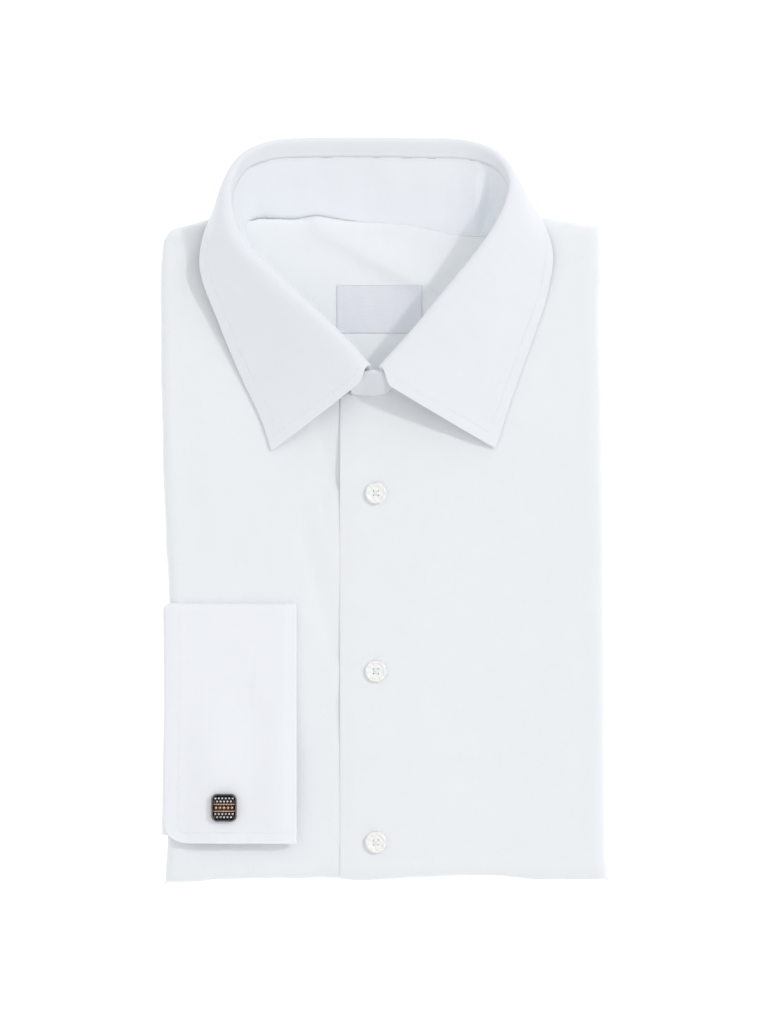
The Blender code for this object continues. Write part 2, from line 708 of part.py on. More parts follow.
def cuff_point(turn, place):
    """A point of the cuff's middle surface.

    turn is a layer, "outer", "fold" or "inner", with a distance from the centre of the side
    fold, or an angle round the turned-back fold. place is a distance along the pack and an
    angle round the tube.
    """
    layer, distance = turn
    y, tube_angle = place
    side = fold_centre(SIDES, 1, y)
    fold_radius = (CUFF_OUTER - CUFF_INNER) / 2
    half = CUFF_OUTER if layer == "outer" else CUFF_INNER
    if layer == "fold":
        half = CUFF_INNER + fold_radius * (1.0 + math.cos(math.radians(distance)))
        distance = cuff_fold_centre() - side + fold_radius * math.sin(math.radians(distance))
    elif distance is None:
        distance = cuff_fold_centre() - side
    elif layer == "outer" and distance < CUFF_CORNER_REACH:
        from_kiss = min(y - CUFF_KISS_Y, CUFF_CORNER)
        corner = CUFF_CORNER - math.sqrt(CUFF_CORNER**2 - (CUFF_CORNER - from_kiss) ** 2)
        end = distance_at(CUFF_END_ANGLE)
        part = (distance - end) / (CUFF_CORNER_REACH - end)
        distance = blend(end + corner, CUFF_CORNER_REACH, part)
    across = round_side(distance, y)
    settle = smooth_step(across[1], CUFF_SEAM_ANGLE, CUFF_END_ANGLE)
    middle = CUFF_REST + CUFF_WALL / 2 + blend(CUFF_INNER, CUFF_OUTER, settle)
    if abs(tube_angle) < 90.0:
        y = CUFF_TOP_Y - CUFF_OUTER + half * math.cos(math.radians(tube_angle))
    tilt = cuff_tilt(side + distance, y)
    lift = FRONT_OUT + middle + tilt + half * math.sin(math.radians(tube_angle))
    return pack_point(across, (y, FLAT), lift)


def cuff_fold_centre():
    return CUFF_FOLD_X - (CUFF_OUTER - CUFF_INNER) / 2 - CUFF_WALL / 2


def make_cuff(collection):
    """The French cuff: a flattened tube, turned back on itself, its ends kissing at one side."""
    round_fold = [distance_at(a) for a in (CUFF_END_ANGLE, 58.0, 74.0)]
    shared = round_fold + spread(0.0, 16.0, 5) + [26.0, 38.0, 50.0, None]
    turns = ([("outer", d) for d in shared] + [("fold", a) for a in (45.0, 90.0, 135.0)]
             + [("inner", d) for d in reversed(shared)]
             + [("inner", distance_at(a)) for a in (30.0, CUFF_SEAM_ANGLE)])
    last_y = CUFF_TOP_Y - CUFF_OUTER
    corner_ys = [CUFF_KISS_Y + CUFF_CORNER * (1.0 - math.cos(math.radians(a)))
                 for a in (0.0, 30.0, 60.0, 90.0)]
    ys = corner_ys + spread(CUFF_KISS_Y + 22.0, last_y, 6)
    upper = [(y, 90.0) for y in ys]
    around = [(last_y, angle) for angle in (50.0, 0.0, -50.0)]
    lower = [(y, -90.0) for y in reversed(ys)]
    mesh = sheet_mesh("right_cuff", turns, upper + around + lower, cuff_point)
    piece = add_object("right_cuff", mesh, finish_material("cuff_cloth", WHITE, 0.75), collection)
    thicken(piece, CUFF_WALL, 0.0)
    return piece


def make_sleeve(collection):
    """The stretch of the right sleeve that shows, from the cuff's seam round under the side."""
    start = CUFF_SEAM_ANGLE - math.degrees(SEAM / CUFF_ROUND)
    low, high = SLEEVE_Y
    ys = spread(low + CUFF_INNER, high - CUFF_INNER, 9)
    ring = ([(y, 90.0) for y in ys] + [(ys[-1], angle) for angle in (45.0, 0.0, -45.0)]
            + [(y, -90.0) for y in reversed(ys)] + [(ys[0], angle) for angle in (225.0, 180.0, 135.0)])
    ring.append(ring[0])

    def place(angle, spot):
        y, tube_angle = spot
        if abs(tube_angle) != 90.0:
            y += CUFF_INNER * math.cos(math.radians(tube_angle))
        middle = CUFF_REST + CUFF_WALL / 2 + CUFF_INNER
        lift = FRONT_OUT + middle + CUFF_INNER * math.sin(math.radians(tube_angle))
        return pack_point(("low", angle), (y, FLAT), lift)

    mesh = sheet_mesh("right_sleeve", spread(SLEEVE_END_ANGLE, start, 6), ring, place)
    piece = add_object("right_sleeve", mesh, finish_material("sleeve_cloth", WHITE, 0.8), collection)
    thicken(piece, CUFF_WALL, 0.0)


# ---------------------------------------------------------------- cufflink and buttons

def cylinder_mesh(name, radius, depth, sides):
    bm = bmesh.new()
    bmesh.ops.create_cone(bm, cap_ends=True, segments=sides, radius1=radius * MM,
                          radius2=radius * MM, depth=depth * MM)
    mesh = bpy.data.meshes.new(name)
    bm.to_mesh(mesh)
    bm.free()
    return mesh


def make_cufflink(cuff, pieces, cutters):
    """A face on the cuff, a post through its four layers and a toggle under them."""
    underside = skin_height(LINK_X, LINK_Y, FRONT_OUT + CUFF_REST + cuff_tilt(LINK_X, LINK_Y))
    cuff_top = underside + 2 * CUFF_OUTER + CUFF_WALL
    face_under = cuff_top + GAP
    toggle_z = underside - GAP - TOGGLE_RADIUS

    bm = bmesh.new()
    bmesh.ops.create_cube(bm, size=1.0)
    for vert in bm.verts:
        vert.co.x *= LINK_WIDTH * MM
        vert.co.y *= LINK_LENGTH * MM
        vert.co.z *= LINK_THICK * MM
    uprights = [e for e in bm.edges if abs(e.verts[0].co.z - e.verts[1].co.z) > 0.5 * MM]
    bmesh.ops.bevel(bm, geom=uprights, offset=LINK_CORNER * MM, segments=5, profile=0.5,
                    affect="EDGES")
    mesh = bpy.data.meshes.new("link_face")
    bm.to_mesh(mesh)
    bm.free()
    silver = finish_material("link_silver", SILVER, 0.35, 1.0)
    face = add_object("link_face", mesh, silver, pieces)
    face.location = Vector((LINK_X, LINK_Y, face_under + LINK_THICK / 2)) * MM
    soften = face.modifiers.new("Edges", "BEVEL")
    soften.width = LINK_EDGE * MM
    soften.segments = 2
    soften.limit_method = "ANGLE"

    post_top = face_under - SEAM
    post_foot = toggle_z + TOGGLE_RADIUS + SEAM
    mesh = cylinder_mesh("link_post", POST_RADIUS, post_top - post_foot, 16)
    post = add_object("link_post", mesh, finish_material("post_silver", SILVER, 0.3, 1.0), pieces)
    post.location = Vector((LINK_X, LINK_Y, (post_top + post_foot) / 2)) * MM

    mesh = cylinder_mesh("link_toggle", TOGGLE_RADIUS, TOGGLE_LENGTH, 16)
    toggle = add_object("link_toggle", mesh, finish_material("toggle_silver", SILVER, 0.3, 1.0), pieces)
    toggle.location = Vector((LINK_X, LINK_Y, toggle_z)) * MM
    toggle.rotation_euler.x = math.radians(90.0)
    ends = toggle.modifiers.new("Ends", "BEVEL")
    ends.width = TOGGLE_EDGE * MM
    ends.segments = 2
    ends.limit_method = "ANGLE"

    hole = add_cutter("link_hole", cylinder_mesh("link_hole", POST_HOLE, 30.0, 16), cutters)
    hole.location = post.location
    cut(cuff, hole)


def button_profile():
    """Half of a button's section, at +X, from the middle of its face down to its back."""
    top = BUTTON_THICK / 2
    rim_start = BUTTON_RADIUS - BUTTON_RIM
    return [
        (0.0, top - BUTTON_DISH),
        (rim_start - 0.9, top - BUTTON_DISH),
        (rim_start, top - 0.12),
        (BUTTON_RADIUS - 0.5, top),
        (BUTTON_RADIUS, top - 0.55),
        (BUTTON_RADIUS - 0.15, -0.35),
        (BUTTON_RADIUS - 1.3, -top),
        (0.0, -top),
    ]


def make_button(index, y, pieces, cutters, material):
    """A turned four-hole button that lies on the left front."""
    bm = bmesh.new()
    verts = [bm.verts.new((x * MM, 0.0, z * MM)) for x, z in button_profile()]
    for first, second in zip(verts, verts[1:]):
        bm.edges.new((first, second))
    mesh = bpy.data.meshes.new(f"button_{index}")
    bm.to_mesh(mesh)
    bm.free()
    button = add_object(f"button_{index}", mesh, material, pieces)
    rest = max(fronts_top(BUTTON_X + dx, y) for dx in (-BUTTON_RADIUS, 0.0, BUTTON_RADIUS))
    button.location = Vector((BUTTON_X, y, rest + GAP + BUTTON_THICK / 2)) * MM
    turned = button.modifiers.new("Turned", "SCREW")
    turned.steps = BUTTON_SIDES
    turned.render_steps = BUTTON_SIDES
    turned.use_merge_vertices = True
    turned.merge_threshold = 0.00001

    bm = bmesh.new()
    for side_x in (-1, 1):
        for side_y in (-1, 1):
            made = bmesh.ops.create_cone(bm, cap_ends=True, segments=8,
                                         radius1=BUTTON_HOLE_RADIUS * MM,
                                         radius2=BUTTON_HOLE_RADIUS * MM, depth=8.0 * MM)
            shift = Vector((side_x, side_y, 0.0)) * BUTTON_HOLE_SPACING * MM
            bmesh.ops.translate(bm, verts=made["verts"], vec=shift)
    holes_mesh = bpy.data.meshes.new(f"button_holes_{index}")
    bm.to_mesh(holes_mesh)
    bm.free()
    holes = add_cutter(f"button_holes_{index}", holes_mesh, cutters)
    holes.location = button.location
    cut(button, holes)


# ---------------------------------------------------------------- the whole shirt

def clear_scene():
    for old in list(bpy.data.objects):
        bpy.data.objects.remove(old, do_unlink=True)


def make_shirt():
    clear_scene()
    pieces = bpy.data.collections.new("folded_dress_shirt")
    cutters = bpy.data.collections.new("cutters")
    bpy.context.scene.collection.children.link(pieces)
    bpy.context.scene.collection.children.link(cutters)

    make_folded_body(pieces)
    make_yoke(pieces)
    make_label(pieces)
    make_fronts(make_neck_cutter(cutters), pieces)
    make_neckband(pieces)
    make_collar_leaf(pieces)
    cuff = make_cuff(pieces)
    make_sleeve(pieces)
    make_cufflink(cuff, pieces, cutters)
    pearl = finish_material("button_pearl", PEARL, 0.25)
    for index, y in enumerate(BUTTON_YS, start=1):
        make_button(index, y, pieces, cutters, pearl)


make_shirt()
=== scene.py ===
"""The looks of a folded white dress shirt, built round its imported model.

Sizes are in millimetres and become metres where a mesh is made. +X is the wearer's left, +Y runs
towards the collar and +Z up from the table that the shirt lies on.
"""

import math

import bmesh
import bpy
import numpy as np
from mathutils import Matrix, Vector


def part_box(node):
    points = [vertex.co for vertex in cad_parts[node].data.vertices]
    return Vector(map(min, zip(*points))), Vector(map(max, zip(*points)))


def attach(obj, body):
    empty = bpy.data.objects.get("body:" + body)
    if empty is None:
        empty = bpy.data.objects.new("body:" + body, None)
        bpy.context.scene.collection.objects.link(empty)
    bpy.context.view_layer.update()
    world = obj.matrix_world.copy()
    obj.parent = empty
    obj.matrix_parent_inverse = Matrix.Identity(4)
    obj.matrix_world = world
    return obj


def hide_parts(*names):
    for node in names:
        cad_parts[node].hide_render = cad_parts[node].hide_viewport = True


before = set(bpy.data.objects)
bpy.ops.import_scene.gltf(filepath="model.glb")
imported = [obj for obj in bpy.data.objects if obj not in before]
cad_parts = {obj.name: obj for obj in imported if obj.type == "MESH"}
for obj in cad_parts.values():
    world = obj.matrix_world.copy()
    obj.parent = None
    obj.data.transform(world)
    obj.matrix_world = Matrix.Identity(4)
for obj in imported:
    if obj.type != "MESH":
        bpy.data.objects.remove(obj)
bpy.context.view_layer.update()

# ---------------------------------------------------------------- table, light and camera
# A plain white light table in a white room. A small soft light stands high on the wearer's left,
# and a very broad one straight above. The camera looks straight down through a long lens.

MM = 0.001
TABLE_WHITE = "F4F5F5"
TABLE_GLOW = 0.42
TABLE_HALF = 3000.0
TABLE_DROP = 0.4           # keeps its top clear of the shirt's underside
ROOM_WHITE = "FCFCFF"
ROOM_STRENGTH = 0.735
LIGHTS = [
    # name, strength, how many degrees across, the way towards it
    ("key_light", 0.62, 4.0, (0.72, 0.39, 1.0)),
    ("ceiling_light", 0.44, 90.0, (0.0, 0.0, 1.0)),
]
CAMERA_HEIGHT = 6000.0
CAMERA_AIM = (0.3, -0.5)
CAMERA_REACH = 50000.0
SENSOR_HEIGHT = 24.0
VIEW_HEIGHT = 563.2        # millimetres of shirt and table that the view is high
SHIRT_MIDDLE = 20.0        # the height where that holds


def linear(hex_colour):
    """An sRGB hex colour as linear red, green, blue and alpha."""
    parts = [int(hex_colour[k:k + 2], 16) / 255.0 for k in (0, 2, 4)]
    return (*[p / 12.92 if p <= 0.04045 else ((p + 0.055) / 1.055) ** 2.4 for p in parts], 1.0)


def start_material(name, colour, roughness, settings=None):
    """A material with one shader, its colour and the numbers that are the same all over."""
    material = bpy.data.materials.new(name)
    material.use_nodes = True
    shader = material.node_tree.nodes["Principled BSDF"]
    shader.inputs["Base Color"].default_value = linear(colour)
    shader.inputs["Roughness"].default_value = roughness
    for key, value in (settings or {}).items():
        shader.inputs[key].default_value = value
    return material, material.node_tree, shader


# Matt white acrylic, sanded and lit from below, so the shirt's shadow on it stays pale.
white_acrylic, _, table_shader = start_material("matt_white_table", TABLE_WHITE, 0.9)
table_shader.inputs["Emission Color"].default_value = linear(TABLE_WHITE)
table_shader.inputs["Emission Strength"].default_value = TABLE_GLOW
table_mesh = bpy.data.meshes.new("table_top")
table_bm = bmesh.new()
bmesh.ops.create_grid(table_bm, x_segments=1, y_segments=1, size=TABLE_HALF * MM)
table_bm.to_mesh(table_mesh)
table_bm.free()
table_mesh.materials.append(white_acrylic)
table_top = bpy.data.objects.new("table_top", table_mesh)
table_top.location.z = -TABLE_DROP * MM
bpy.context.scene.collection.objects.link(table_top)

room = bpy.data.worlds.new("white_room")
room.use_nodes = True
room.node_tree.nodes["Background"].inputs["Color"].default_value = linear(ROOM_WHITE)
room.node_tree.nodes["Background"].inputs["Strength"].default_value = ROOM_STRENGTH
bpy.context.scene.world = room

for name, strength, across, towards in LIGHTS:
    light = bpy.data.lights.new(name, "SUN")
    light.energy = strength
    light.angle = math.radians(across)
    stand = bpy.data.objects.new(name, light)
    stand.rotation_euler = Vector(towards).to_track_quat("Z", "Y").to_euler()
    bpy.context.scene.collection.objects.link(stand)

lens = bpy.data.cameras.new("camera")
lens.sensor_fit = "VERTICAL"
lens.sensor_height = SENSOR_HEIGHT
lens.lens = SENSOR_HEIGHT * (CAMERA_HEIGHT - SHIRT_MIDDLE) / VIEW_HEIGHT
lens.clip_end = CAMERA_REACH * MM
camera = bpy.data.objects.new("camera", lens)
camera.location = Vector((*CAMERA_AIM, CAMERA_HEIGHT)) * MM
bpy.context.scene.collection.objects.link(camera)
bpy.context.scene.camera = camera
bpy.context.scene.view_settings.view_transform = "Standard"

# ---------------------------------------------------------------- hidden layers
# The back, the tails, the left sleeve and the folded-in sides, pressed together under the
# fronts. Only their folded edges show, one bend above the other, and the folds underneath.

ROLL = 8.0                 # the folds stand out this far from the flat part
ROUND = 9.0                # the radius that the cloth's length runs round them at
MID_HEIGHT = 10.5          # the middle of the pack, and its half heights above and below it
HALF_HEIGHT = 8.0
UNDER_HALF = 6.0
CROWN = 2.6                # the pack is fuller in its middle, and this is how far that reaches
CROWN_WIDTH = 128.0
CROWN_LENGTH = 215.0
CROWN_MIDDLE_Y = -25.0
FRONT_OUT = 1.6            # the fronts' outer face lies this far outside the pack
QUARTER = math.pi / 2
FULLNESS = 0.52            # 1 is a half-circle fold, and less is a squarer, pressed one
SIDES = [
    # y,      left,   right
    (-204.0, -122.2, 127.0),
    (-197.0, -120.2, 124.4),
    (-185.0, -119.0, 122.8),
    (-120.0, -117.8, 122.2),
    (-45.0, -118.2, 121.8),
    (-16.0, -120.2, 121.6),
    (28.0, -121.4, 120.8),
    (72.0, -122.6, 120.2),
    (116.0, -122.9, 119.4),
    (142.0, -121.9, 119.8),
    (160.0, -119.6, 118.8),
]
ENDS = [
    # x,      hem,    shoulder
    (-122.0, -206.0, 152.6),
    (-112.0, -204.6, 156.4),
    (-104.0, -204.2, 158.8),
    (-92.0, -203.0, 161.6),
    (-46.0, -202.3, 161.2),
    (-10.0, -202.0, 160.0),
    (22.0, -200.4, 160.4),
    (60.0, -200.8, 161.4),
    (86.0, -203.0, 161.8),
    (103.0, -203.4, 159.4),
    (111.0, -203.2, 157.2),
    (123.0, -203.4, 153.2),
]
CORNER_ROUNDS = [1.0, 0.2]  # the shoulders' corners at -X and +X, 1 being fully round
CORNER_FALL = (-121.0, 157.0, 4.6, 19.0)  # where one corner is thinner, how much and how far
NECK_SPAN = [-84.0, 72.0, 66.0, 175.0]  # the pack sinks inside the neck, between these
NECK_RAMP = 16.0
NECK_DROPS = [2.6, 5.2]    # by this much at the neck's front and back
NECK_BACK_Y = 130.0
SLEEVE_Y = [-178.0, -54.5]
LAYER_COLUMNS = 72
LAYER_ROWS = 120
LAYER_WIDTH = 245.0
LAYER_ENDS = [-200.0, 157.0]
LAYER_UNEVEN = (0.4, 60.0, 150.0)  # how uneven the layers' edges are, over what lengths
SLEEVE_SQUEEZE = 0.75      # the edges lie further out where the sleeve is wrapped round them
SLEEVE_RAMP = 8.0
LOWEST_LAYER = 2.0         # a layer whose middle is lower than this rests on the table
FLAP_ENDS = [(61.0, 63.0), (196.5, 198.0)]  # the tails' flap ends softly at these
FLAP_PLY = 0.5
SIDES_APART = (34.0, -2.0, 0.03)  # half the space between the sides, its middle and its slant
SIDES_PLY = 0.55
UNDER_UNEVEN = 0.1
CORE_SPAN = [(-127.0, 129.0), (-209.0, 168.0)]
CORE_STEP = 2.5
CORE_INSET = 0.7
CORE_SLACK = 1.2           # the core lies lower still in the middle, under the fronts
CORE_SLACK_RAMP = (22.0, 46.0)
LAYERS = [
    # name, inset, middle height, half thickness, wave's seed
    ("side_fold", 2.9, 3.85, 1.15, 5),
    ("tail_fold", 2.3, 1.32, 1.3, 8),
]


def smooth_curve(rows, column):
    """Reads one column of a table, on a smooth curve through its rows."""
    keys = np.array([row[0] for row in rows])
    values = np.array([row[column] for row in rows])
    slopes = np.empty(len(rows))
    slopes[0] = (values[1] - values[0]) / (keys[1] - keys[0])
    slopes[-1] = (values[-1] - values[-2]) / (keys[-1] - keys[-2])
    slopes[1:-1] = (values[2:] - values[:-2]) / (keys[2:] - keys[:-2])

    def read(place):
        """The column's value at a place."""
        place = np.clip(place, keys[0], keys[-1])
        row = np.clip(np.searchsorted(keys, place, side="right") - 1, 0, len(rows) - 2)
        span = keys[row + 1] - keys[row]
        t = (place - keys[row]) / span
        return ((2 * t**3 - 3 * t**2 + 1) * values[row]
                + (t**3 - 2 * t**2 + t) * span * slopes[row]
                + (3 * t**2 - 2 * t**3) * values[row + 1]
                + (t**3 - t**2) * span * slopes[row + 1])
    return read


def smooth_step(value, low, high):
    """Rises softly from 0 at low to 1 at high."""
    t = np.clip((value - low) / (high - low), 0.0, 1.0)
    return t * t * (3.0 - 2.0 * t)


def blend(a, b, t):
    """What lies a share t of the way from a to b."""
    return a + (b - a) * t


left_edge, right_edge = smooth_curve(SIDES, 1), smooth_curve(SIDES, 2)
hem_edge, shoulder_edge = smooth_curve(ENDS, 1), smooth_curve(ENDS, 2)


def past_folds(u, v, inward):
    """The flat place under a point of the cloth, and how far past the folds' centres it is."""
    y_guess = np.clip(v, SIDES[0][0] + ROLL, SIDES[-1][0] - ROLL)
    x = np.clip(u, left_edge(y_guess) + inward, right_edge(y_guess) - inward)
    y = np.clip(v, hem_edge(x) + inward, shoulder_edge(x) - inward)
    return x, y, u - x, v - y


def half_height(x, y):
    """How high the pack's top stands above its middle."""
    across = np.maximum(1.0 - (x / CROWN_WIDTH) ** 2, 0.0)
    along = np.maximum(1.0 - ((y - CROWN_MIDDLE_Y) / CROWN_LENGTH) ** 2, 0.0)
    x0, y0, fall, reach = CORNER_FALL
    at_corner = np.exp(-((x - x0) ** 2 + (y - y0) ** 2) / reach**2)
    return HALF_HEIGHT + CROWN * across * along - fall * at_corner


bend_angles = np.linspace(0.0, QUARTER, 400)
bend_x, bend_z = np.sin(bend_angles) ** FULLNESS, np.cos(bend_angles) ** FULLNESS
bend_run = np.concatenate([[0.0], np.cumsum(np.hypot(np.diff(bend_x), np.diff(bend_z)))])
bend_run = bend_run / bend_run[-1] * QUARTER


def fuller(turn):
    """How far out and up a fold is at a turn, in radii; it is squarer than a half circle."""
    around = np.abs(turn)
    within = np.where(around < QUARTER, around, 2 * QUARTER - around)
    out = np.interp(within, bend_run, bend_x)
    up = np.interp(within, bend_run, bend_z)
    return np.sign(turn) * out, np.where(around < QUARTER, up, -up)


def pack_surface(u, v, lift, drop=0.0):
    """The pack's skin, moved out by lift, its top lower by drop; u and v also run round folds."""
    x, y, over_x, over_y = past_folds(u, v, ROLL + FRONT_OUT)
    turn_x, turn_y = over_x / ROUND, over_y / ROUND

    def fading(turn, other):
        """A turn past a quarter fades out where the other fold takes over, at the corners."""
        past = np.maximum(np.abs(turn) - QUARTER, 0.0)
        fade = np.cos(np.minimum(np.abs(other), QUARTER)) ** 0.5
        return np.sign(turn) * (np.minimum(np.abs(turn), QUARTER) + past * fade)

    turn_x, turn_y = fading(turn_x, turn_y), fading(turn_y, turn_x)
    reach = ROLL + lift
    (out_x, rise_x), (out_y, rise_y) = fuller(turn_x), fuller(turn_y)
    rounded = blend(*CORNER_ROUNDS, (x > 0.0) * 1.0) * (out_y > 0.0) / 2
    out_x, out_y = (out_x * np.sqrt(1.0 - rounded * out_y**2),
                    out_y * np.sqrt(1.0 - rounded * out_x**2))
    lowest = np.minimum(rise_x, rise_y)
    rise = np.where(lowest < 0.0, lowest * (UNDER_HALF + lift),
                    rise_x * rise_y * (half_height(x, y) + lift - drop))
    return np.stack([x + reach * out_x, y + reach * out_y, MID_HEIGHT + rise], -1)


def waves(x, y, seed, shortest, longest, count=9):
    """A soft unevenness, mostly between -1 and 1, from a few crossing waves."""
    draw = np.random.default_rng(seed)
    total = 0.0
    for _ in range(count):
        length, heading, start = (draw.uniform(shortest, longest), draw.uniform(0, 2 * math.pi),
                                  draw.uniform(0, 2 * math.pi))
        along = x * math.cos(heading) + y * math.sin(heading)
        total = total + np.sin(2 * math.pi * along / length + start)
    return total / math.sqrt(count)


def inside_neck(x, y):
    """1 inside the neck, falling softly to 0 outside it."""
    left, right, front, back = NECK_SPAN
    return (smooth_step(x, left - NECK_RAMP, left) * smooth_step(-x, -right - NECK_RAMP, -right)
            * smooth_step(y, front - NECK_RAMP, front) * smooth_step(-y, -back - NECK_RAMP, -back))


def neck_depth(x, y):
    """How far the pack sinks there, inside the neck."""
    towards_back = smooth_step(y, NECK_SPAN[2], NECK_BACK_Y)
    return inside_neck(x, y) * blend(*NECK_DROPS, towards_back)


def grid_mesh(name, points, cut):
    """A grid of cloth: points are its places, and cut the same points on the flat cloth."""
    across, along = points.shape[:2]
    index = np.arange(across * along).reshape(across, along)
    quads = np.stack([index[:-1, :-1], index[1:, :-1], index[1:, 1:], index[:-1, 1:]], -1)
    mesh = bpy.data.meshes.new(name)
    mesh.from_pydata((points.reshape(-1, 3) * MM).tolist(), [], quads.reshape(-1, 4).tolist())
    layer = mesh.uv_layers.new(name="cloth")
    layer.data.foreach_set("uv", cut.reshape(-1, 2)[quads.reshape(-1)].ravel())
    mesh.shade_smooth()
    return mesh


def weld(mesh, distance=0.004):
    """Joins points that meet, as they do under the corners."""
    bm = bmesh.new()
    bm.from_mesh(mesh)
    bmesh.ops.remove_doubles(bm, verts=bm.verts, dist=distance * MM)
    bmesh.ops.dissolve_degenerate(bm, edges=bm.edges, dist=distance * MM)
    bm.to_mesh(mesh)
    bm.free()


def add_piece(name, mesh, material, node=None, wall=0.0, offset=-1.0):
    """A piece in place on the shirt, with its wall; it stands for its node."""
    piece = bpy.data.objects.new(name, mesh)
    mesh.materials.append(material)
    bpy.context.scene.collection.objects.link(piece)
    if wall:
        cloth_wall = piece.modifiers.new("Wall", "SOLIDIFY")
        cloth_wall.thickness = wall * MM
        cloth_wall.offset = offset
    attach(piece, "root")
    if node:
        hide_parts(node)
    return piece


def add_node(tree, kind, settings=None, links=()):
    """Adds a node with its settings, by socket or attribute, and its inputs' sources."""
    made = tree.nodes.new(kind)
    for key, value in (settings or {}).items():
        if isinstance(key, int) or key in made.inputs:
            made.inputs[key].default_value = value
        else:
            setattr(made, key, value)
    for key, source in links:
        tree.links.new(source, made.inputs[key])
    return made


UNIT_BAND = 0.314          # a wave texture of this scale has one band in each unit
PRESS_SHADE = 0.98         # pressed places are this much darker


def woven_cotton(name, colour, thread, crumple):
    """Cotton poplin, woven and pressed: matt, with a faint even weave and a little unevenness.

    It lets a little light through, so its shadows stay pale. Its threads lie 0.2 mm apart, too
    fine to show, so thread draws them coarser, in millimetres.
    """
    material, tree, shader = start_material(name, colour, 0.82, {
        "Specular IOR Level": 0.28, "IOR": 1.5, "Sheen Weight": 0.1, "Sheen Roughness": 0.45,
        "Subsurface Weight": 0.35, "Subsurface Radius": (1.0, 1.0, 1.0),
        "Subsurface Scale": 0.0012})
    place = add_node(tree, "ShaderNodeUVMap", {"uv_map": "cloth"}).outputs["UV"]
    turns = UNIT_BAND / thread
    warp, weft = (add_node(tree, "ShaderNodeTexWave",
                           {"Scale": turns, "bands_direction": direction, "Distortion": 0.7,
                            "Detail": 1.0, "Detail Scale": 1.3}, [("Vector", place)])
                  for direction in ("X", "Y"))
    woven = add_node(tree, "ShaderNodeMath", {"operation": "ADD"},
                     [(0, warp.outputs["Fac"]), (1, weft.outputs["Fac"])])
    slub = add_node(tree, "ShaderNodeTexNoise", {"Scale": 0.55, "Detail": 3.0, "Roughness": 0.6},
                    [("Vector", place)])
    press = add_node(tree, "ShaderNodeTexNoise", {"Scale": 0.06, "Detail": 2.0},
                     [("Vector", place)])
    weave_bump = add_node(tree, "ShaderNodeBump", {"Strength": 0.10, "Distance": 0.00008},
                          [("Height", woven.outputs["Value"])])
    slub_bump = add_node(tree, "ShaderNodeBump", {"Strength": 0.3 * crumple, "Distance": 0.0002},
                         [("Height", slub.outputs["Fac"]),
                          ("Normal", weave_bump.outputs["Normal"])])
    tree.links.new(slub_bump.outputs["Normal"], shader.inputs["Normal"])
    pressed_colour = (*[PRESS_SHADE * c for c in linear(colour)[:3]], 1.0)
    shade = add_node(tree, "ShaderNodeMix", {
        "data_type": "RGBA", 6: linear(colour), 7: pressed_colour}, [(0, press.outputs["Fac"])])
    tree.links.new(shade.outputs[2], shader.inputs["Base Color"])
    return material


poplin = woven_cotton("white_cotton_poplin", "F4F8FA", 1.1, 1.0)


def underside(x, y):
    """Height of the pack's underside: the tails' flap lies lowest, the sides above it."""
    past_flap = smooth_step(y, *FLAP_ENDS[0]) + smooth_step(-y, *FLAP_ENDS[1])
    half_space, middle, slant = SIDES_APART
    between_sides = (smooth_step(half_space - np.abs(x - middle + slant * y), -1.0, 1.0)
                     * smooth_step(y, FLAP_ENDS[0][0] - 1.0, FLAP_ENDS[0][1] + 1.0))
    return (FLAP_PLY * past_flap + SIDES_PLY * between_sides
            + UNDER_UNEVEN * (1.0 + waves(x, y, 21, 40.0, 90.0)))


def spaced(low, high, step):
    """Evenly spaced places from low to high, about a step apart."""
    return np.linspace(low, high, max(int(round((high - low) / step)), 2) + 1)


def bend_places(count, steps=6):
    """Places across a layer: the share of its flat part, and the turn round the bend."""
    turns = np.linspace(0.0, QUARTER, steps)[1:]
    share = np.concatenate([np.zeros(steps - 1), np.linspace(0.0, 1.0, count), np.ones(steps - 1)])
    return share, np.concatenate([-turns[::-1], np.zeros(count), turns])


def layer_side(inset, middle, half, seed, below):
    """The top or the underside of one folded layer, whose edges are half-round bends."""
    (share_x, share_y), (turn_x, turn_y) = (
        np.meshgrid(first, second, indexing="ij")
        for first, second in zip(bend_places(LAYER_COLUMNS), bend_places(LAYER_ROWS)))
    guess = blend(*LAYER_ENDS, share_y)
    wrapped = (smooth_step(guess, SLEEVE_Y[0] - SLEEVE_RAMP, SLEEVE_Y[0])
               * smooth_step(-guess, -SLEEVE_Y[1] - SLEEVE_RAMP, -SLEEVE_Y[1]))
    uneven = LAYER_UNEVEN[0] * waves(share_x * LAYER_WIDTH, guess, seed, *LAYER_UNEVEN[1:])
    left = left_edge(guess) + inset * (1.0 - SLEEVE_SQUEEZE * wrapped) + uneven + half
    x = blend(left, right_edge(guess) - inset + uneven - half, share_x)
    y = blend(hem_edge(x) + inset + uneven + half, shoulder_edge(x) - inset + uneven - half,
              share_y)
    rise = half * np.cos(turn_x) * np.cos(turn_y)
    height = middle + rise
    if below:
        height = middle - rise
        if middle < LOWEST_LAYER:
            height = height + underside(x, y) * (rise / half) ** 2
    points = np.stack([x + half * np.sin(turn_x), y + half * np.sin(turn_y), height], -1)
    return points if not below else points[::-1], points[..., :2]


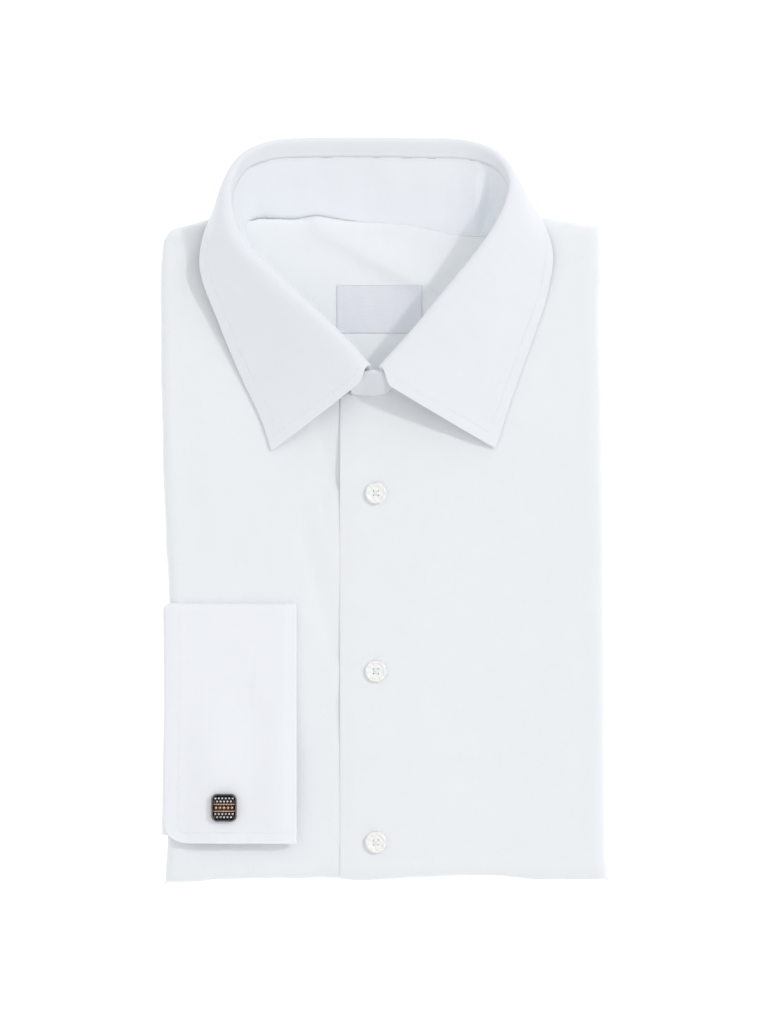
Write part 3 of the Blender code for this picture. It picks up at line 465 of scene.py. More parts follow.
hidden_meshes = []
for name, inset, middle, half, seed in LAYERS:
    for below in (False, True):
        points, cut = layer_side(inset, middle, half, seed, below)
        hidden_meshes.append(grid_mesh(name, points, cut if not below else cut[::-1]))
core_u, core_v = np.meshgrid(*[spaced(*span, CORE_STEP) for span in CORE_SPAN], indexing="ij")
slack = CORE_SLACK * smooth_step(CROWN_WIDTH - np.abs(core_u), *CORE_SLACK_RAMP)
slack = slack * (1.0 - inside_neck(core_u, core_v))
core_points = pack_surface(core_u, core_v, -CORE_INSET - slack, neck_depth(core_u, core_v))
hidden_meshes.append(grid_mesh("core", core_points, np.stack([core_u, core_v], -1)))
gathered = bmesh.new()
for mesh in hidden_meshes:
    gathered.from_mesh(mesh)
hidden_mesh = bpy.data.meshes.new("hidden_layers")
gathered.to_mesh(hidden_mesh)
gathered.free()
weld(hidden_mesh)
for vertex in hidden_mesh.vertices:
    vertex.co.z = max(vertex.co.z, 0.0)
add_piece("hidden_layers", hidden_mesh, poplin, "folded_body")

# ---------------------------------------------------------------- fronts
# The right front and, lapping over it, the left front with its plain turned edge. Both are
# poplin, laid round the board at the side, the shoulder and the hem, and cut out at the neck.

LAP_EDGE = -23.9           # the left front's edge, and the right front's under it
UNDERLAP = 12.4
LAP_RAMP = 48.0            # the left front comes down softly past the right front's edge
TURNED_EDGE = 33.0         # the width that is turned under at its edge
TURNED_STEP = 2.2
LAP_WAVE_WIDTH = 22.0
LAP_PRESS = (0.7, 6.0)     # the edge is pressed down this far, over this width
LAP_WAVES = [
    # y,     rise, length
    (24.0, 1.9, 20.0),
    (-108.0, 0.8, 16.0),
    (-190.0, 0.4, 10.0),
]
RIGHT_CREASES = [
    # x1,   y1,    x2,    y2,    depth, half width
    (-36.0, 44.0, -26.0, 18.0, 1.3, 5.0),
    (-44.0, -14.0, -27.0, -78.0, 1.1, 6.5),
    (-96.0, 142.0, -108.0, 126.0, 0.7, 7.0),
    (-60.0, -192.0, -30.0, -199.0, 0.5, 5.0),
    (-112.0, 60.0, -104.0, -20.0, 0.35, 7.0),
    (-34.0, 20.0, -31.0, -12.0, 0.4, 4.0),
]
LEFT_CREASES = [
    (78.0, -60.0, 98.0, 10.0, 0.5, 12.0),
    (24.0, -196.0, 70.0, -188.0, 0.45, 6.0),
    (106.0, 128.0, 92.0, 96.0, 0.5, 8.0),
    (108.0, -150.0, 112.0, -80.0, 0.35, 6.0),
    (20.0, -60.0, 36.0, -128.0, 0.3, 9.0),
]
PRESSED = 0.25             # pressing lowers both fronts by this
EDGE_BEND = 0.5            # radius that the left front's edge is turned under at
FOLD_OVER = 134.0          # how many degrees the fronts go round the side, shoulder and hem
FRONT_COLUMNS = 84
FRONT_ROWS = 235
FRONT_ENDS = [-200.0, 156.0]
PLY = 0.45                 # drawn thickness of one layer of poplin
COLLAR = [
    # place, seam_x, seam_y, fold_x, fold_y, fold_z, edge_x, edge_y, edge_z
    (-1.00, -6.8, 67.5, -8.2, 79.6, 45.0, -61.4, 33.0, 23.2),
    (-0.90, -18.4, 78.0, -17.3, 90.2, 46.5, -67.7, 51.7, 23.0),
    (-0.78, -36.0, 96.0, -32.2, 105.1, 47.5, -77.9, 73.2, 22.9),
    (-0.64, -56.4, 126.5, -59.7, 129.8, 48.0, -90.6, 104.0, 26.5),
    (-0.53, -73.0, 146.0, -79.6, 150.7, 47.5, -100.6, 133.7, 29.5),
    (-0.44, -76.0, 156.5, -85.6, 175.5, 45.0, -96.4, 157.5, 25.0),
    (-0.36, -70.0, 161.0, -78.0, 194.2, 38.5, -86.4, 169.5, 11.0),
    (-0.27, -58.0, 161.0, -62.0, 202.4, 34.0, -65.8, 170.5, 2.0),
    (-0.14, -36.0, 160.0, -39.3, 204.3, 31.5, -38.8, 170.0, 1.6),
    (0.00, -10.2, 158.4, -10.2, 204.6, 31.0, -10.2, 169.5, 1.6),
    (0.14, 14.6, 155.7, 19.0, 204.3, 31.0, 19.0, 169.5, 1.6),
    (0.27, 37.7, 152.2, 45.4, 203.0, 32.5, 49.8, 170.0, 2.0),
    (0.36, 50.9, 151.2, 61.9, 196.4, 39.5, 71.8, 169.8, 9.0),
    (0.44, 58.0, 150.9, 70.1, 183.7, 46.0, 84.4, 164.5, 18.5),
    (0.53, 62.0, 143.6, 67.4, 167.8, 47.5, 92.7, 142.5, 23.0),
    (0.64, 59.0, 133.0, 55.8, 147.4, 48.5, 89.4, 117.7, 22.3),
    (0.78, 40.0, 110.0, 34.9, 121.6, 48.0, 80.6, 90.8, 22.5),
    (0.90, 21.5, 86.0, 15.7, 98.5, 46.5, 70.1, 61.1, 22.9),
    (1.00, 3.4, 65.0, -1.8, 79.0, 45.0, 61.4, 34.4, 23.3),
]
NECK_MIDDLE = (-8.0, 118.0)
NECK_STEPS = 181
NECK_LEDGES = [-0.4, 1.4]  # the fronts' cut edge is caught inside the neckband
NECK_CLEAR = 6.0
NECK_CUT_BACK = 14.0
NECK_CUTTER = [-10.0, 70.0]  # the heights that it cuts between
FRONT_FACE = 22.0
BESIDE_NECK = (0.33, 0.44)  # places along the collar: past its back corners, and near its ends
AT_FRONT = (0.88, 0.97)
collar_curves = [smooth_curve(COLLAR, column) for column in range(1, 9)]


def crease_depth(x, y, rows):
    """Depth of soft creases: each is steeper on its right-hand side, and fades at its ends."""
    total = 0.0
    for x1, y1, x2, y2, depth, half_width in rows:
        run_x, run_y = x2 - x1, y2 - y1
        t = np.clip(((x - x1) * run_x + (y - y1) * run_y) / (run_x**2 + run_y**2), 0.0, 1.0)
        aside = (x - x1) * run_y - (y - y1) * run_x
        away = np.hypot(x - x1 - t * run_x, y - y1 - t * run_y) / half_width
        away = away * np.where(aside > 0.0, 1.35, 0.8)
        total = total + depth * np.exp(-away**2)
    return total


def lap_lift(x, y):
    """How much higher the left front lies over the right one's edge, with its waves."""
    start = UNDERLAP + 2.0
    rise = FRONT_OUT * (1.0 - smooth_step(x, start, start + LAP_RAMP))
    rise = rise - LAP_PRESS[0] * np.exp(-((x - LAP_EDGE) / LAP_PRESS[1]) ** 2)
    near_edge = np.exp(-((x - LAP_EDGE) / LAP_WAVE_WIDTH) ** 2)
    for wave_y, wave_rise, wave_length in LAP_WAVES:
        rise = rise + wave_rise * near_edge * np.exp(-((y - wave_y) / wave_length) ** 2)
    return rise


def handled(u, v, seed):
    """What handling leaves in pressed cloth: broad swells, and small ripples by the folds."""
    by_side = np.exp(-((122.0 - np.abs(u)) / 16.0) ** 2)
    by_end = np.exp(-((v + 204.0) / 12.0) ** 2) + np.exp(-((v - 160.0) / 12.0) ** 2)
    return (0.16 * waves(u, v, seed, 45.0, 120.0) + 0.05 * waves(u, v, seed + 1, 14.0, 30.0)
            + 0.14 * by_end * waves(u, 0.35 * v, seed + 2, 9.0, 34.0)
            + 0.12 * by_side * waves(0.35 * u, v, seed + 3, 14.0, 46.0))


def neck_hole():
    """A prism for cutting the neck: along the collar's seam, and clear of the leaning band."""
    place = np.linspace(-1.0, 1.0, NECK_STEPS)
    x, y, fold_x, fold_y, fold_z = (curve(place) for curve in collar_curves[:5])
    beside = smooth_step(np.abs(place), *BESIDE_NECK)
    at_front = smooth_step(np.abs(place), *AT_FRONT)
    leaning = blend(NECK_CLEAR, 0.0, at_front) / (fold_z - FRONT_FACE)
    ledge = blend(*NECK_LEDGES, at_front) * beside
    in_x, in_y = NECK_MIDDLE[0] - x, NECK_MIDDLE[1] - y
    length = np.hypot(in_x, in_y)
    x = x + in_x / length * ledge + (fold_x - x) * leaning * beside
    y = (y + in_y / length * ledge + (fold_y - y) * leaning * beside
         + NECK_CUT_BACK * (1.0 - beside))
    bm = bmesh.new()
    rim = [bm.verts.new((px * MM, py * MM, NECK_CUTTER[0] * MM)) for px, py in zip(x, y)]
    floor = bm.faces.new(rim)
    raised = bmesh.ops.extrude_face_region(bm, geom=[floor])
    top = [v for v in raised["geom"] if isinstance(v, bmesh.types.BMVert)]
    bmesh.ops.translate(bm, verts=top, vec=(0.0, 0.0, (NECK_CUTTER[1] - NECK_CUTTER[0]) * MM))
    bmesh.ops.recalc_face_normals(bm, faces=bm.faces)
    mesh = bpy.data.meshes.new("neck_hole")
    bm.to_mesh(mesh)
    bm.free()
    hole = bpy.data.objects.new("neck_hole", mesh)
    bpy.context.scene.collection.objects.link(hole)
    return hole


def cut_out(piece, hole):
    """Cuts the hole out of a piece, wall and all."""
    opening = piece.modifiers.new("Opening", "BOOLEAN")
    opening.operation = "DIFFERENCE"
    opening.object = hole
    graph = bpy.context.evaluated_depsgraph_get()
    mesh = bpy.data.meshes.new_from_object(piece.evaluated_get(graph))
    piece.modifiers.clear()
    piece.data = mesh
    bpy.data.objects.remove(hole)


fold_over = ROUND * math.radians(FOLD_OVER)
inward = ROLL + FRONT_OUT


def end_limits(x):
    """Where a front's cloth ends, round the hem and round the shoulder."""
    return hem_edge(x) + inward - fold_over, shoulder_edge(x) - inward + fold_over


front_shares = np.linspace(0.0, 1.0, FRONT_COLUMNS)
share_v = np.linspace(0.0, 1.0, FRONT_ROWS)
right_share, right_v = np.meshgrid(front_shares, share_v, indexing="ij")
right_start = left_edge(blend(*FRONT_ENDS, right_v)) + inward - fold_over
right_u = blend(right_start, UNDERLAP, right_share)
right_v = blend(*end_limits(right_u), right_v)
right_lift = (FRONT_OUT - crease_depth(right_u, right_v, RIGHT_CREASES)
              - PRESSED + handled(right_u, right_v, 31))
right_cut = np.stack([right_u, right_v], -1)
right_points = pack_surface(right_u, right_v, right_lift)
right_mesh = grid_mesh("right_front", right_points, right_cut)
weld(right_mesh)
right_front = add_piece("right_front_cloth", right_mesh, poplin, "right_front", wall=PLY)
cut_out(right_front, neck_hole())


def left_lift(u, v):
    """How far the left front's face lies outside the pack."""
    return (FRONT_OUT + lap_lift(u, v) - crease_depth(u, v, LEFT_CREASES)
            - PRESSED + handled(u, v, 41))


# The left front's edge is turned under, so its cloth starts below, goes round and comes back.
below_x = spaced(LAP_EDGE + EDGE_BEND, LAP_EDGE + TURNED_EDGE, TURNED_STEP)[::-1]
left_columns = ([("below", x) for x in below_x]
                + [("turn", angle) for angle in np.linspace(0.0, math.pi, 7)[1:-1]]
                + [("above", share) for share in front_shares])
left_points, left_cut = [], []
for kind, value in left_columns:
    end = right_edge(blend(*FRONT_ENDS, share_v)) - inward + fold_over
    if kind == "above":
        u = blend(LAP_EDGE + EDGE_BEND, end, value)
        drop, spread_u = 0.0, u
    elif kind == "turn":
        u = np.full_like(end, LAP_EDGE + EDGE_BEND - EDGE_BEND * math.sin(value))
        drop = EDGE_BEND * (1.0 + math.cos(value))
        spread_u = LAP_EDGE - EDGE_BEND * (math.pi - value)
    else:
        u = np.full_like(end, value)
        drop, spread_u = 2 * EDGE_BEND, LAP_EDGE - (value - LAP_EDGE)
    v = blend(*end_limits(u), share_v)
    left_points.append(pack_surface(u, v, left_lift(u, v) - drop))
    left_cut.append(np.stack([spread_u + 0.0 * u, v], -1))
left_points, left_cut = np.array(left_points), np.array(left_cut)
left_mesh = grid_mesh("left_front", left_points, left_cut)
weld(left_mesh)
left_front = add_piece("left_front_cloth", left_mesh, poplin, "left_front", wall=PLY)
cut_out(left_front, neck_hole())

# ---------------------------------------------------------------- back yoke and label
# The yoke is one layer of poplin that shows inside the neck. On it is a bare label of woven
# satin, its ends turned under and sewn down.

YOKE_SPAN = [-78.0, 64.0]
YOKE_START = 72.0
YOKE_SUNK = 0.35           # the yoke lies this much lower than the fronts
YOKE_NECK = [-68.0, 44.0]
YOKE_RAMP = 4.0
YOKE_TURNS = [44.0, 60.0]  # how far it goes round the shoulder fold, beside the neck and at it
YOKE_CREASES = [
    (-36.0, 156.0, 19.0, 126.0, -2.6, 7.5),
    (-62.0, 134.0, -34.0, 96.0, 0.6, 8.0),
    (34.0, 128.0, 14.0, 98.0, 0.5, 6.0),
]
LABEL_SPAN = [(-25.6, 21.2), (97.9, 124.3)]
LABEL_STEP = 0.6
LABEL_THICK = 0.3
LABEL_REST = 0.1
LABEL_END = 2.4            # what is turned under at each end, and how much that lifts it
LABEL_END_RISE = 0.2


def yoke_lift(u, v):
    """How far the yoke's face lies outside the pack."""
    swell = 0.25 * waves(u, v, 51, 24.0, 70.0) + 0.08 * waves(u, v, 52, 9.0, 22.0)
    return FRONT_OUT - YOKE_SUNK + swell - crease_depth(u, v, YOKE_CREASES)


yoke_share, yoke_v = np.meshgrid(np.linspace(0.0, 1.0, 96), np.linspace(0.0, 1.0, 72),
                                 indexing="ij")
yoke_u = blend(*YOKE_SPAN, yoke_share)
at_neck = smooth_step(yoke_u, YOKE_NECK[0] - YOKE_RAMP, YOKE_NECK[0]) * smooth_step(
    -yoke_u, -YOKE_NECK[1] - YOKE_RAMP, -YOKE_NECK[1])
yoke_end = shoulder_edge(yoke_u) - inward + ROUND * np.radians(blend(*YOKE_TURNS, at_neck))
yoke_v = blend(YOKE_START, yoke_end, yoke_v)
yoke_points = pack_surface(yoke_u, yoke_v, yoke_lift(yoke_u, yoke_v), neck_depth(yoke_u, yoke_v))
yoke_mesh = grid_mesh("back_yoke", yoke_points, np.stack([yoke_u, yoke_v], -1))
back_yoke = add_piece("back_yoke_cloth", yoke_mesh, poplin, "back_yoke", wall=PLY)


def woven_satin(name, colour, other, rib):
    """Label satin of polyester thread: a soft shine along it, and close cross ribs.

    The ribs lie 0.3 mm apart, too fine to show, so rib draws them coarser, in millimetres.
    """
    material, tree, shader = start_material(name, colour, 0.42, {
        "Specular IOR Level": 0.5, "IOR": 1.55, "Anisotropic": 0.5, "Sheen Weight": 0.2})
    place = add_node(tree, "ShaderNodeUVMap", {"uv_map": "cloth"}).outputs["UV"]
    ribs = add_node(tree, "ShaderNodeTexWave", {"Scale": UNIT_BAND / rib, "bands_direction": "Y",
                                                "Distortion": 0.3}, [("Vector", place)])
    floats = add_node(tree, "ShaderNodeTexNoise", {"Scale": 1.4, "Detail": 2.0},
                      [("Vector", place)])
    rib_bump = add_node(tree, "ShaderNodeBump", {"Strength": 0.5, "Distance": 0.0001},
                        [("Height", ribs.outputs["Fac"])])
    tree.links.new(rib_bump.outputs["Normal"], shader.inputs["Normal"])
    shade = add_node(tree, "ShaderNodeMix", {
        "data_type": "RGBA", 6: linear(colour), 7: linear(other)}, [(0, floats.outputs["Fac"])])
    tree.links.new(shade.outputs[2], shader.inputs["Base Color"])
    return material


label_satin = woven_satin("bluish_white_label_satin", "E4E6EA", "D9DBE1", 0.9)
label_u, label_v = np.meshgrid(*[spaced(*span, LABEL_STEP) for span in LABEL_SPAN], indexing="ij")
from_end = np.minimum(label_u - LABEL_SPAN[0][0], LABEL_SPAN[0][1] - label_u)
turned_under = 1.0 - smooth_step(from_end, LABEL_END - 0.5, LABEL_END + 0.5)
label_rise = LABEL_REST + LABEL_THICK + LABEL_END_RISE * turned_under
label_points = pack_surface(label_u, label_v, yoke_lift(label_u, label_v) + label_rise,
                            neck_depth(label_u, label_v))
label_mesh = grid_mesh("neck_label", label_points, np.stack([label_u, label_v], -1))
neck_label = add_piece("neck_label_strip", label_mesh, label_satin, "neck_label",
                       wall=LABEL_THICK)

# ---------------------------------------------------------------- collar
# The neckband and the leaf are each two layers of poplin on a pressed stiffening. The band is
# sewn to the neck and its left end laps over the right; the leaf rolls over from its top edge.

BAND_LAP = [
    # place, seam_x, seam_y, top_x, top_y, top_z
    (1.00, 0.3, 64.6, -1.0, 76.4, 41.4),
    (1.05, -5.8, 63.8, -7.4, 77.0, 41.6),
    (1.10, -12.4, 63.9, -13.6, 75.8, 38.8),
    (1.14, -17.4, 64.6, -19.6, 71.8, 34.6),
]
BAND_REST = 1.2            # the band's middle starts this far over what it is sewn to
BAND_WALL = 1.2
BAND_SEWN = [0.9, 0.8]     # its lower edge is caught this deep in the yoke and in the fronts
BAND_STITCH = 1.6
BAND_GROOVE = (0.10, 0.5)
BAND_COLUMNS = 321         # and as closely over the lap
BAND_LAP_COLUMNS = 33
BAND_ROWS = [0.0, 0.5, 1.0, BAND_STITCH, 2.2, 3.0]
BAND_POCKET = (5.5, 0.355, 0.307, 0.03)  # it turns in by one back corner, this deep
BAND_POCKET_END = (0.50, 0.66)
BAND_FOLD = (0.9, 0.385, 0.012)  # and has a soft fold beside that
SEAM = -0.4                # the band runs this far into the leaf, sewn between its layers
LAP_START = 0.96
LEAF_RISE_BACK = 11.0      # the leaf's seam lies this far down inside its fold
LEAF_RISE_FRONTS = [8.0, 4.5]
LEAF_WALL = 1.1
LEAF_STAND = 2.6           # the point at +X stands off the front by up to this
LEAF_STAND_FROM = (0.55, 0.95)
LEAF_CLEAR = 0.85
FOLD_ROUNDS = [7.0, 4.2]   # the -X side rolls over softly, the +X side is pressed flatter
FOLD_REACH = 13.0
RISE_STEPS = 8
LEAF_MIDDLE_COLUMNS = 330
LEAF_END_COLUMNS = [0.0, 0.4, 0.8, 1.2, 1.6, 2.0, 2.5, 3.0, 3.6, 4.2, 4.8, 5.3, 5.7, 6.1, 6.5,
                    7.0, 7.6, 8.4, 9.4]
END_MM = 0.0052            # a millimetre at the collar's ends, as a place along it
LEAF_FREE = 0.3            # the share next to its fold that rests on nothing
LEAF_SWELL = (0.35, 0.28, 0.05)  # the leaf's fullness, its unevenness and its puckers
LEAF_SWELL_RAMPS = (26.0, 12.0, 3.0)
FRONT_SAGS = [6.0, 7.4]    # the leaf's front edges at -X and +X bow down by this
SAG_WAYS = [(0.646, -0.763), (-0.587, -0.81)]
SAG_FROM = 0.15            # fully from this share of the way down
SAG_WIDTH = 24.0
SHOULDER_Y = 160.6
FAR = 99.0                 # farther from an edge than any stitching lies
EDGE_STITCH = 6.0          # the leaf's and the cuff's stitching is this far in from the edge
EDGE_ROWS = [0.0, 0.4, 0.9, 1.5, 2.2, 3.0, 3.8, 4.6, 5.2, 5.6, EDGE_STITCH, 6.4, 6.8, 7.4, 8.2,
             9.2]
STITCH_GROOVE = (0.07, 0.55)
STITCH_INSET = 14          # columns that the long row of stitches leaves to the front rows
STITCH_COLUMNS = 40
STITCH_START = 12


def over_pack(x, y):
    """The flat place that belongs to a place seen from above, and the folds' fall there."""
    flat_x = np.clip(x, left_edge(y) + inward, right_edge(y) - inward)
    flat_y = np.clip(y, hem_edge(x) + inward, shoulder_edge(x) - inward)
    fall_x, fall_y = (np.sqrt(np.maximum(1.0 - (over / inward) ** 2, 0.0))
                      for over in (x - flat_x, y - flat_y))
    return flat_x, flat_y, fall_x, fall_y


def front_height(x, y):
    """Height of the fronts' face at a place seen from above."""
    flat_x, flat_y, fall_x, fall_y = over_pack(x, y)
    lift = FRONT_OUT + np.where(x > LAP_EDGE, lap_lift(x, y), 0.0)
    return MID_HEIGHT + fall_x * fall_y * (half_height(flat_x, flat_y) + lift)


def yoke_height(x, y):
    """Height of the yoke's face, which lies sunk inside the neck."""
    flat_x, flat_y, fall_x, fall_y = over_pack(x, y)
    top = fall_x * (half_height(flat_x, flat_y) + FRONT_OUT) - neck_depth(x, y)
    return MID_HEIGHT + fall_y * top


def unit(vectors):
    """The vectors at a length of one."""
    return vectors / np.linalg.norm(vectors, axis=-1, keepdims=True)


def collar_sections(place):
    """The seam, the fold and the leaf's edge of each section of the collar."""
    seam_x, seam_y, fold_x, fold_y, fold_z, edge_x, edge_y, edge_z = (
        curve(place) for curve in collar_curves)
    at_front = smooth_step(np.abs(place), 0.30, 0.44)
    seam_z = BAND_REST + blend(
        yoke_height(seam_x, seam_y), front_height(seam_x, seam_y), at_front)
    rest_z = np.maximum(edge_z, front_height(edge_x, edge_y) + LEAF_CLEAR)
    edge_z = np.where(edge_y < SHOULDER_Y, rest_z, edge_z)
    return (np.stack([seam_x, seam_y, seam_z], -1), np.stack([fold_x, fold_y, fold_z], -1),
            np.stack([edge_x, edge_y, edge_z], -1))


def leaf_rise(place):
    """How far down inside its fold the leaf is sewn to the band."""
    front = blend(*LEAF_RISE_FRONTS, (place > 0.0) * 1.0)
    return blend(LEAF_RISE_BACK, front, smooth_step(np.abs(place), 0.20, 0.60))[:, None]


def bezier(p0, p1, p2, p3, t):
    """Rows of points along the curves that four rows of points control."""
    t = t[None, :, None]
    s = 1.0 - t
    return (p0[:, None] * s**3 + 3 * p1[:, None] * s * s * t + 3 * p2[:, None] * s * t * t
            + p3[:, None] * t**3)


def measured(line):
    """How far each point of a line of points is along it."""
    return np.concatenate([[0.0], np.cumsum(np.linalg.norm(np.diff(line, axis=0), axis=1))])


def along_line(line, distances):
    """The points that lie these distances along a line of points."""
    places = measured(line)
    return np.stack([np.interp(distances, places, line[:, k]) for k in range(line.shape[1])], -1)


def grid_normals(points):
    """The way out of the cloth at each point of its grid."""
    return unit(np.cross(np.gradient(points, axis=0), np.gradient(points, axis=1)))


def ringed_mesh(name, solids):
    """A mesh of closed solids, each an array of rings of points."""
    faces, start = [], 0
    for solid in solids:
        corner = start + np.arange(solid.shape[0] * solid.shape[1]).reshape(solid.shape[:2])
        beside = np.roll(corner, -1, axis=1)
        sides = np.stack([corner[:-1], beside[:-1], beside[1:], corner[1:]], -1)
        faces += [corner[0, ::-1].tolist(), *sides.reshape(-1, 4).tolist(), corner[-1].tolist()]
        start += corner.size
    points = np.concatenate([solid.reshape(-1, 3) for solid in solids]) * MM
    mesh = bpy.data.meshes.new(name)
    mesh.from_pydata(points.tolist(), [], faces)
    mesh.shade_smooth()
    return mesh


def sew(name, lines, spacing=2.3, length=1.7, width=0.34):
    """A row of machine stitches along each line of points, given with the cloth's normals."""
    along = np.array([-0.5, -0.36, -0.12, 0.12, 0.36, 0.5])[:, None, None]
    girth = np.array([0.2, 0.8, 1.0, 1.0, 0.8, 0.2])[:, None, None] * width / 2
    turn = (np.arange(6) * math.pi / 3)[None, :, None]
    sunk = width * 0.22 - 0.9 * width * (2 * along) ** 4
    stitches = []
    for line, normals in lines:
        total = measured(line)[-1]
        centres = np.arange(spacing / 2, total - spacing / 4, spacing)
        both = along_line(np.concatenate([line, normals], -1), centres)
        ahead = along_line(line, np.minimum(centres + 0.3, total))
        behind = along_line(line, np.maximum(centres - 0.3, 0.0))
        runs, ups = unit(ahead - behind), unit(both[:, 3:])
        for middle, run, up, side in zip(both[:, :3], runs, ups, unit(np.cross(ups, runs))):
            stitches.append(middle + run * along * length + side * np.cos(turn) * girth
                            + up * (sunk + np.sin(turn) * girth))
    return add_piece(name, ringed_mesh(name, stitches), sewing_thread)


def spun_thread(name, colour):
    """Spun sewing thread, cotton round a core: white, a little smoother than the cloth.

    Its plies turn every 0.35 mm, as coarse as they are.
    """
    material, tree, shader = start_material(name, colour, 0.55, {"Specular IOR Level": 0.4})
    place = add_node(tree, "ShaderNodeTexCoord").outputs["Object"]
    ply = add_node(tree, "ShaderNodeTexWave", {"Scale": 900.0, "bands_direction": "DIAGONAL",
                                               "Distortion": 0.4}, [("Vector", place)])
    ply_bump = add_node(tree, "ShaderNodeBump", {"Strength": 0.4, "Distance": 0.00004},
                        [("Height", ply.outputs["Fac"])])
    tree.links.new(ply_bump.outputs["Normal"], shader.inputs["Normal"])
    return material


sewing_thread = spun_thread("white_sewing_thread", "F2F4F7")
# Painted shade: the neckband and the cuff use this poplin, drawn a little darker than the fronts'
# poplin to dim them as shade would.
shaded_collar_poplin = woven_cotton("white_collar_poplin", "F0F3F6", 0.9, 0.6)

# the neckband, along its seam and then over its lap
band_places = np.concatenate([np.linspace(-1.0, 1.0, BAND_COLUMNS),
                              np.linspace(1.0, BAND_LAP[-1][0], BAND_LAP_COLUMNS)[1:]])
seam, fold, _ = collar_sections(np.minimum(band_places, 1.0))
up = unit(fold - seam)
band_top = fold - up * (leaf_rise(np.minimum(band_places, 1.0)) + SEAM)
lap = np.maximum(band_places, 1.0)
lap_seam_x, lap_seam_y, lap_x, lap_y, lap_z = (
    smooth_curve(BAND_LAP, column)(lap) for column in range(1, 6))
lap_seam = np.stack([lap_seam_x, lap_seam_y, front_height(lap_seam_x, lap_seam_y) + BAND_REST], -1)
lap_top = np.stack([lap_x, lap_y, lap_z], -1)
sewn_z = yoke_height(seam[:, 0], seam[:, 1]) - BAND_SEWN[0]
on_yoke = 1.0 - smooth_step(np.abs(band_places), *AT_FRONT)
seam[:, 2] = blend(seam[:, 2] - BAND_SEWN[1], sewn_z, on_yoke)
lap_seam[:, 2] -= BAND_SEWN[1]
lapping = smooth_step(band_places, LAP_START, 1.0)[:, None]
seam, band_top = blend(seam, lap_seam, lapping), blend(band_top, lap_top, lapping)
band_height = np.linalg.norm(band_top - seam, axis=-1)[:, None]
near = np.array(BAND_ROWS)
row_place = np.concatenate([
    near + 0.0 * band_height,
    near[-1] + (band_height - 2 * near[-1]) * np.linspace(0.0, 1.0, 9)[None, 1:-1],
    band_height - near[::-1]], axis=1)
band_points = seam[:, None] + (band_top - seam)[:, None] * (row_place / band_height)[..., None]
band_run = measured(seam)
band_cut = np.stack([band_run[:, None] + 0.0 * row_place, row_place], -1)
band_normals = grid_normals(band_points)
bow = np.sin(math.pi * np.clip(row_place / band_height, 0.0, 1.0))
puckers = (0.10 * waves(band_cut[..., 0], 0.4 * band_cut[..., 1], 61, 6.0, 22.0)
           + 0.45 * waves(band_cut[..., 0], 0.15 * band_cut[..., 1], 63, 14.0, 40.0))
fold_depth, fold_place, fold_width = BAND_FOLD
soft_fold = fold_depth * np.exp(-((band_places[:, None] - fold_place) / fold_width) ** 2)
from_seams = np.minimum(row_place, band_height - row_place)
groove = BAND_GROOVE[0] * np.exp(-((from_seams - BAND_STITCH) / BAND_GROOVE[1]) ** 2)
pocket_depth, pocket_low, pocket_high, pocket_ramp = BAND_POCKET
past_corner = band_places[:, None] - blend(pocket_low, pocket_high, row_place / band_height)
pocket = pocket_depth * (smooth_step(past_corner, 0.0, pocket_ramp)
                         * (1.0 - smooth_step(band_places, *BAND_POCKET_END)[:, None]))
broad = 0.3 * waves(band_cut[..., 0], band_cut[..., 1], 62, 50.0, 120.0)
band_shape = (puckers + broad - soft_fold - pocket) * bow - groove
band_points = band_points + band_normals * band_shape[..., None]
neckband = add_piece("neckband_cloth", grid_mesh("neckband", band_points, band_cut),
                     shaded_collar_poplin, "neckband", wall=BAND_WALL, offset=0.0)
band_face = band_points + band_normals * BAND_WALL / 2
stitch_row = BAND_ROWS.index(BAND_STITCH)
sew("neckband_stitching", [(band_face[:, row], band_normals[:, row])
                           for row in (stitch_row, -1 - stitch_row)])

# the leaf, up from its seam, over its fold and down to its edge
end_places = 1.0 - np.array(LEAF_END_COLUMNS) * END_MM
middle_places = np.linspace(-end_places[-1], end_places[-1], LEAF_MIDDLE_COLUMNS)
leaf_places = np.concatenate([-end_places[:-1], middle_places, end_places[:-1][::-1]])
seam, fold, edge = collar_sections(leaf_places)
up, down = unit(fold - seam), unit(edge - fold)
turn = unit(up + down) * blend(*FOLD_ROUNDS, smooth_step(leaf_places, -0.5, -0.35))[:, None]
rise = leaf_rise(leaf_places)
rising = bezier(fold, fold - turn * 0.5, fold - up * rise * 0.5, fold - up * rise,
                np.linspace(1.0, 0.0, RISE_STEPS + 1)[:-1])
falling = bezier(fold, fold + turn, fold + down * FOLD_REACH, edge, np.linspace(0.0, 1.0, 90))
near_edge = np.array(EDGE_ROWS)
shares = np.concatenate([np.linspace(0.0, 0.22, 13)[:-1], np.linspace(0.22, 1.0, 26)[:-1]])
fallen, fallen_run = [], []
for column in falling:
    total = measured(column)[-1]
    distances = np.concatenate([shares * (total - near_edge[-1]), total - near_edge[::-1]])
    fallen.append(along_line(column, distances))
    fallen_run.append(distances)
leaf_points = np.concatenate([rising, np.array(fallen)], axis=1)
fallen_run = np.array(fallen_run)
rise_run = -np.linspace(1.0, 0.0, RISE_STEPS + 1)[None, :-1] * rise
leaf_run = np.concatenate([rise_run, fallen_run], axis=1)
from_edge = leaf_run[:, -1:] - leaf_run
resting = (leaf_points[..., 1] < SHOULDER_Y) & (leaf_run > LEAF_FREE * leaf_run[:, -1:])
clear_z = front_height(leaf_points[..., 0], leaf_points[..., 1]) + LEAF_CLEAR
leaf_points[..., 2] = np.where(resting, np.maximum(leaf_points[..., 2], clear_z),
                               leaf_points[..., 2])
front_distance = np.full(leaf_run.shape, FAR)
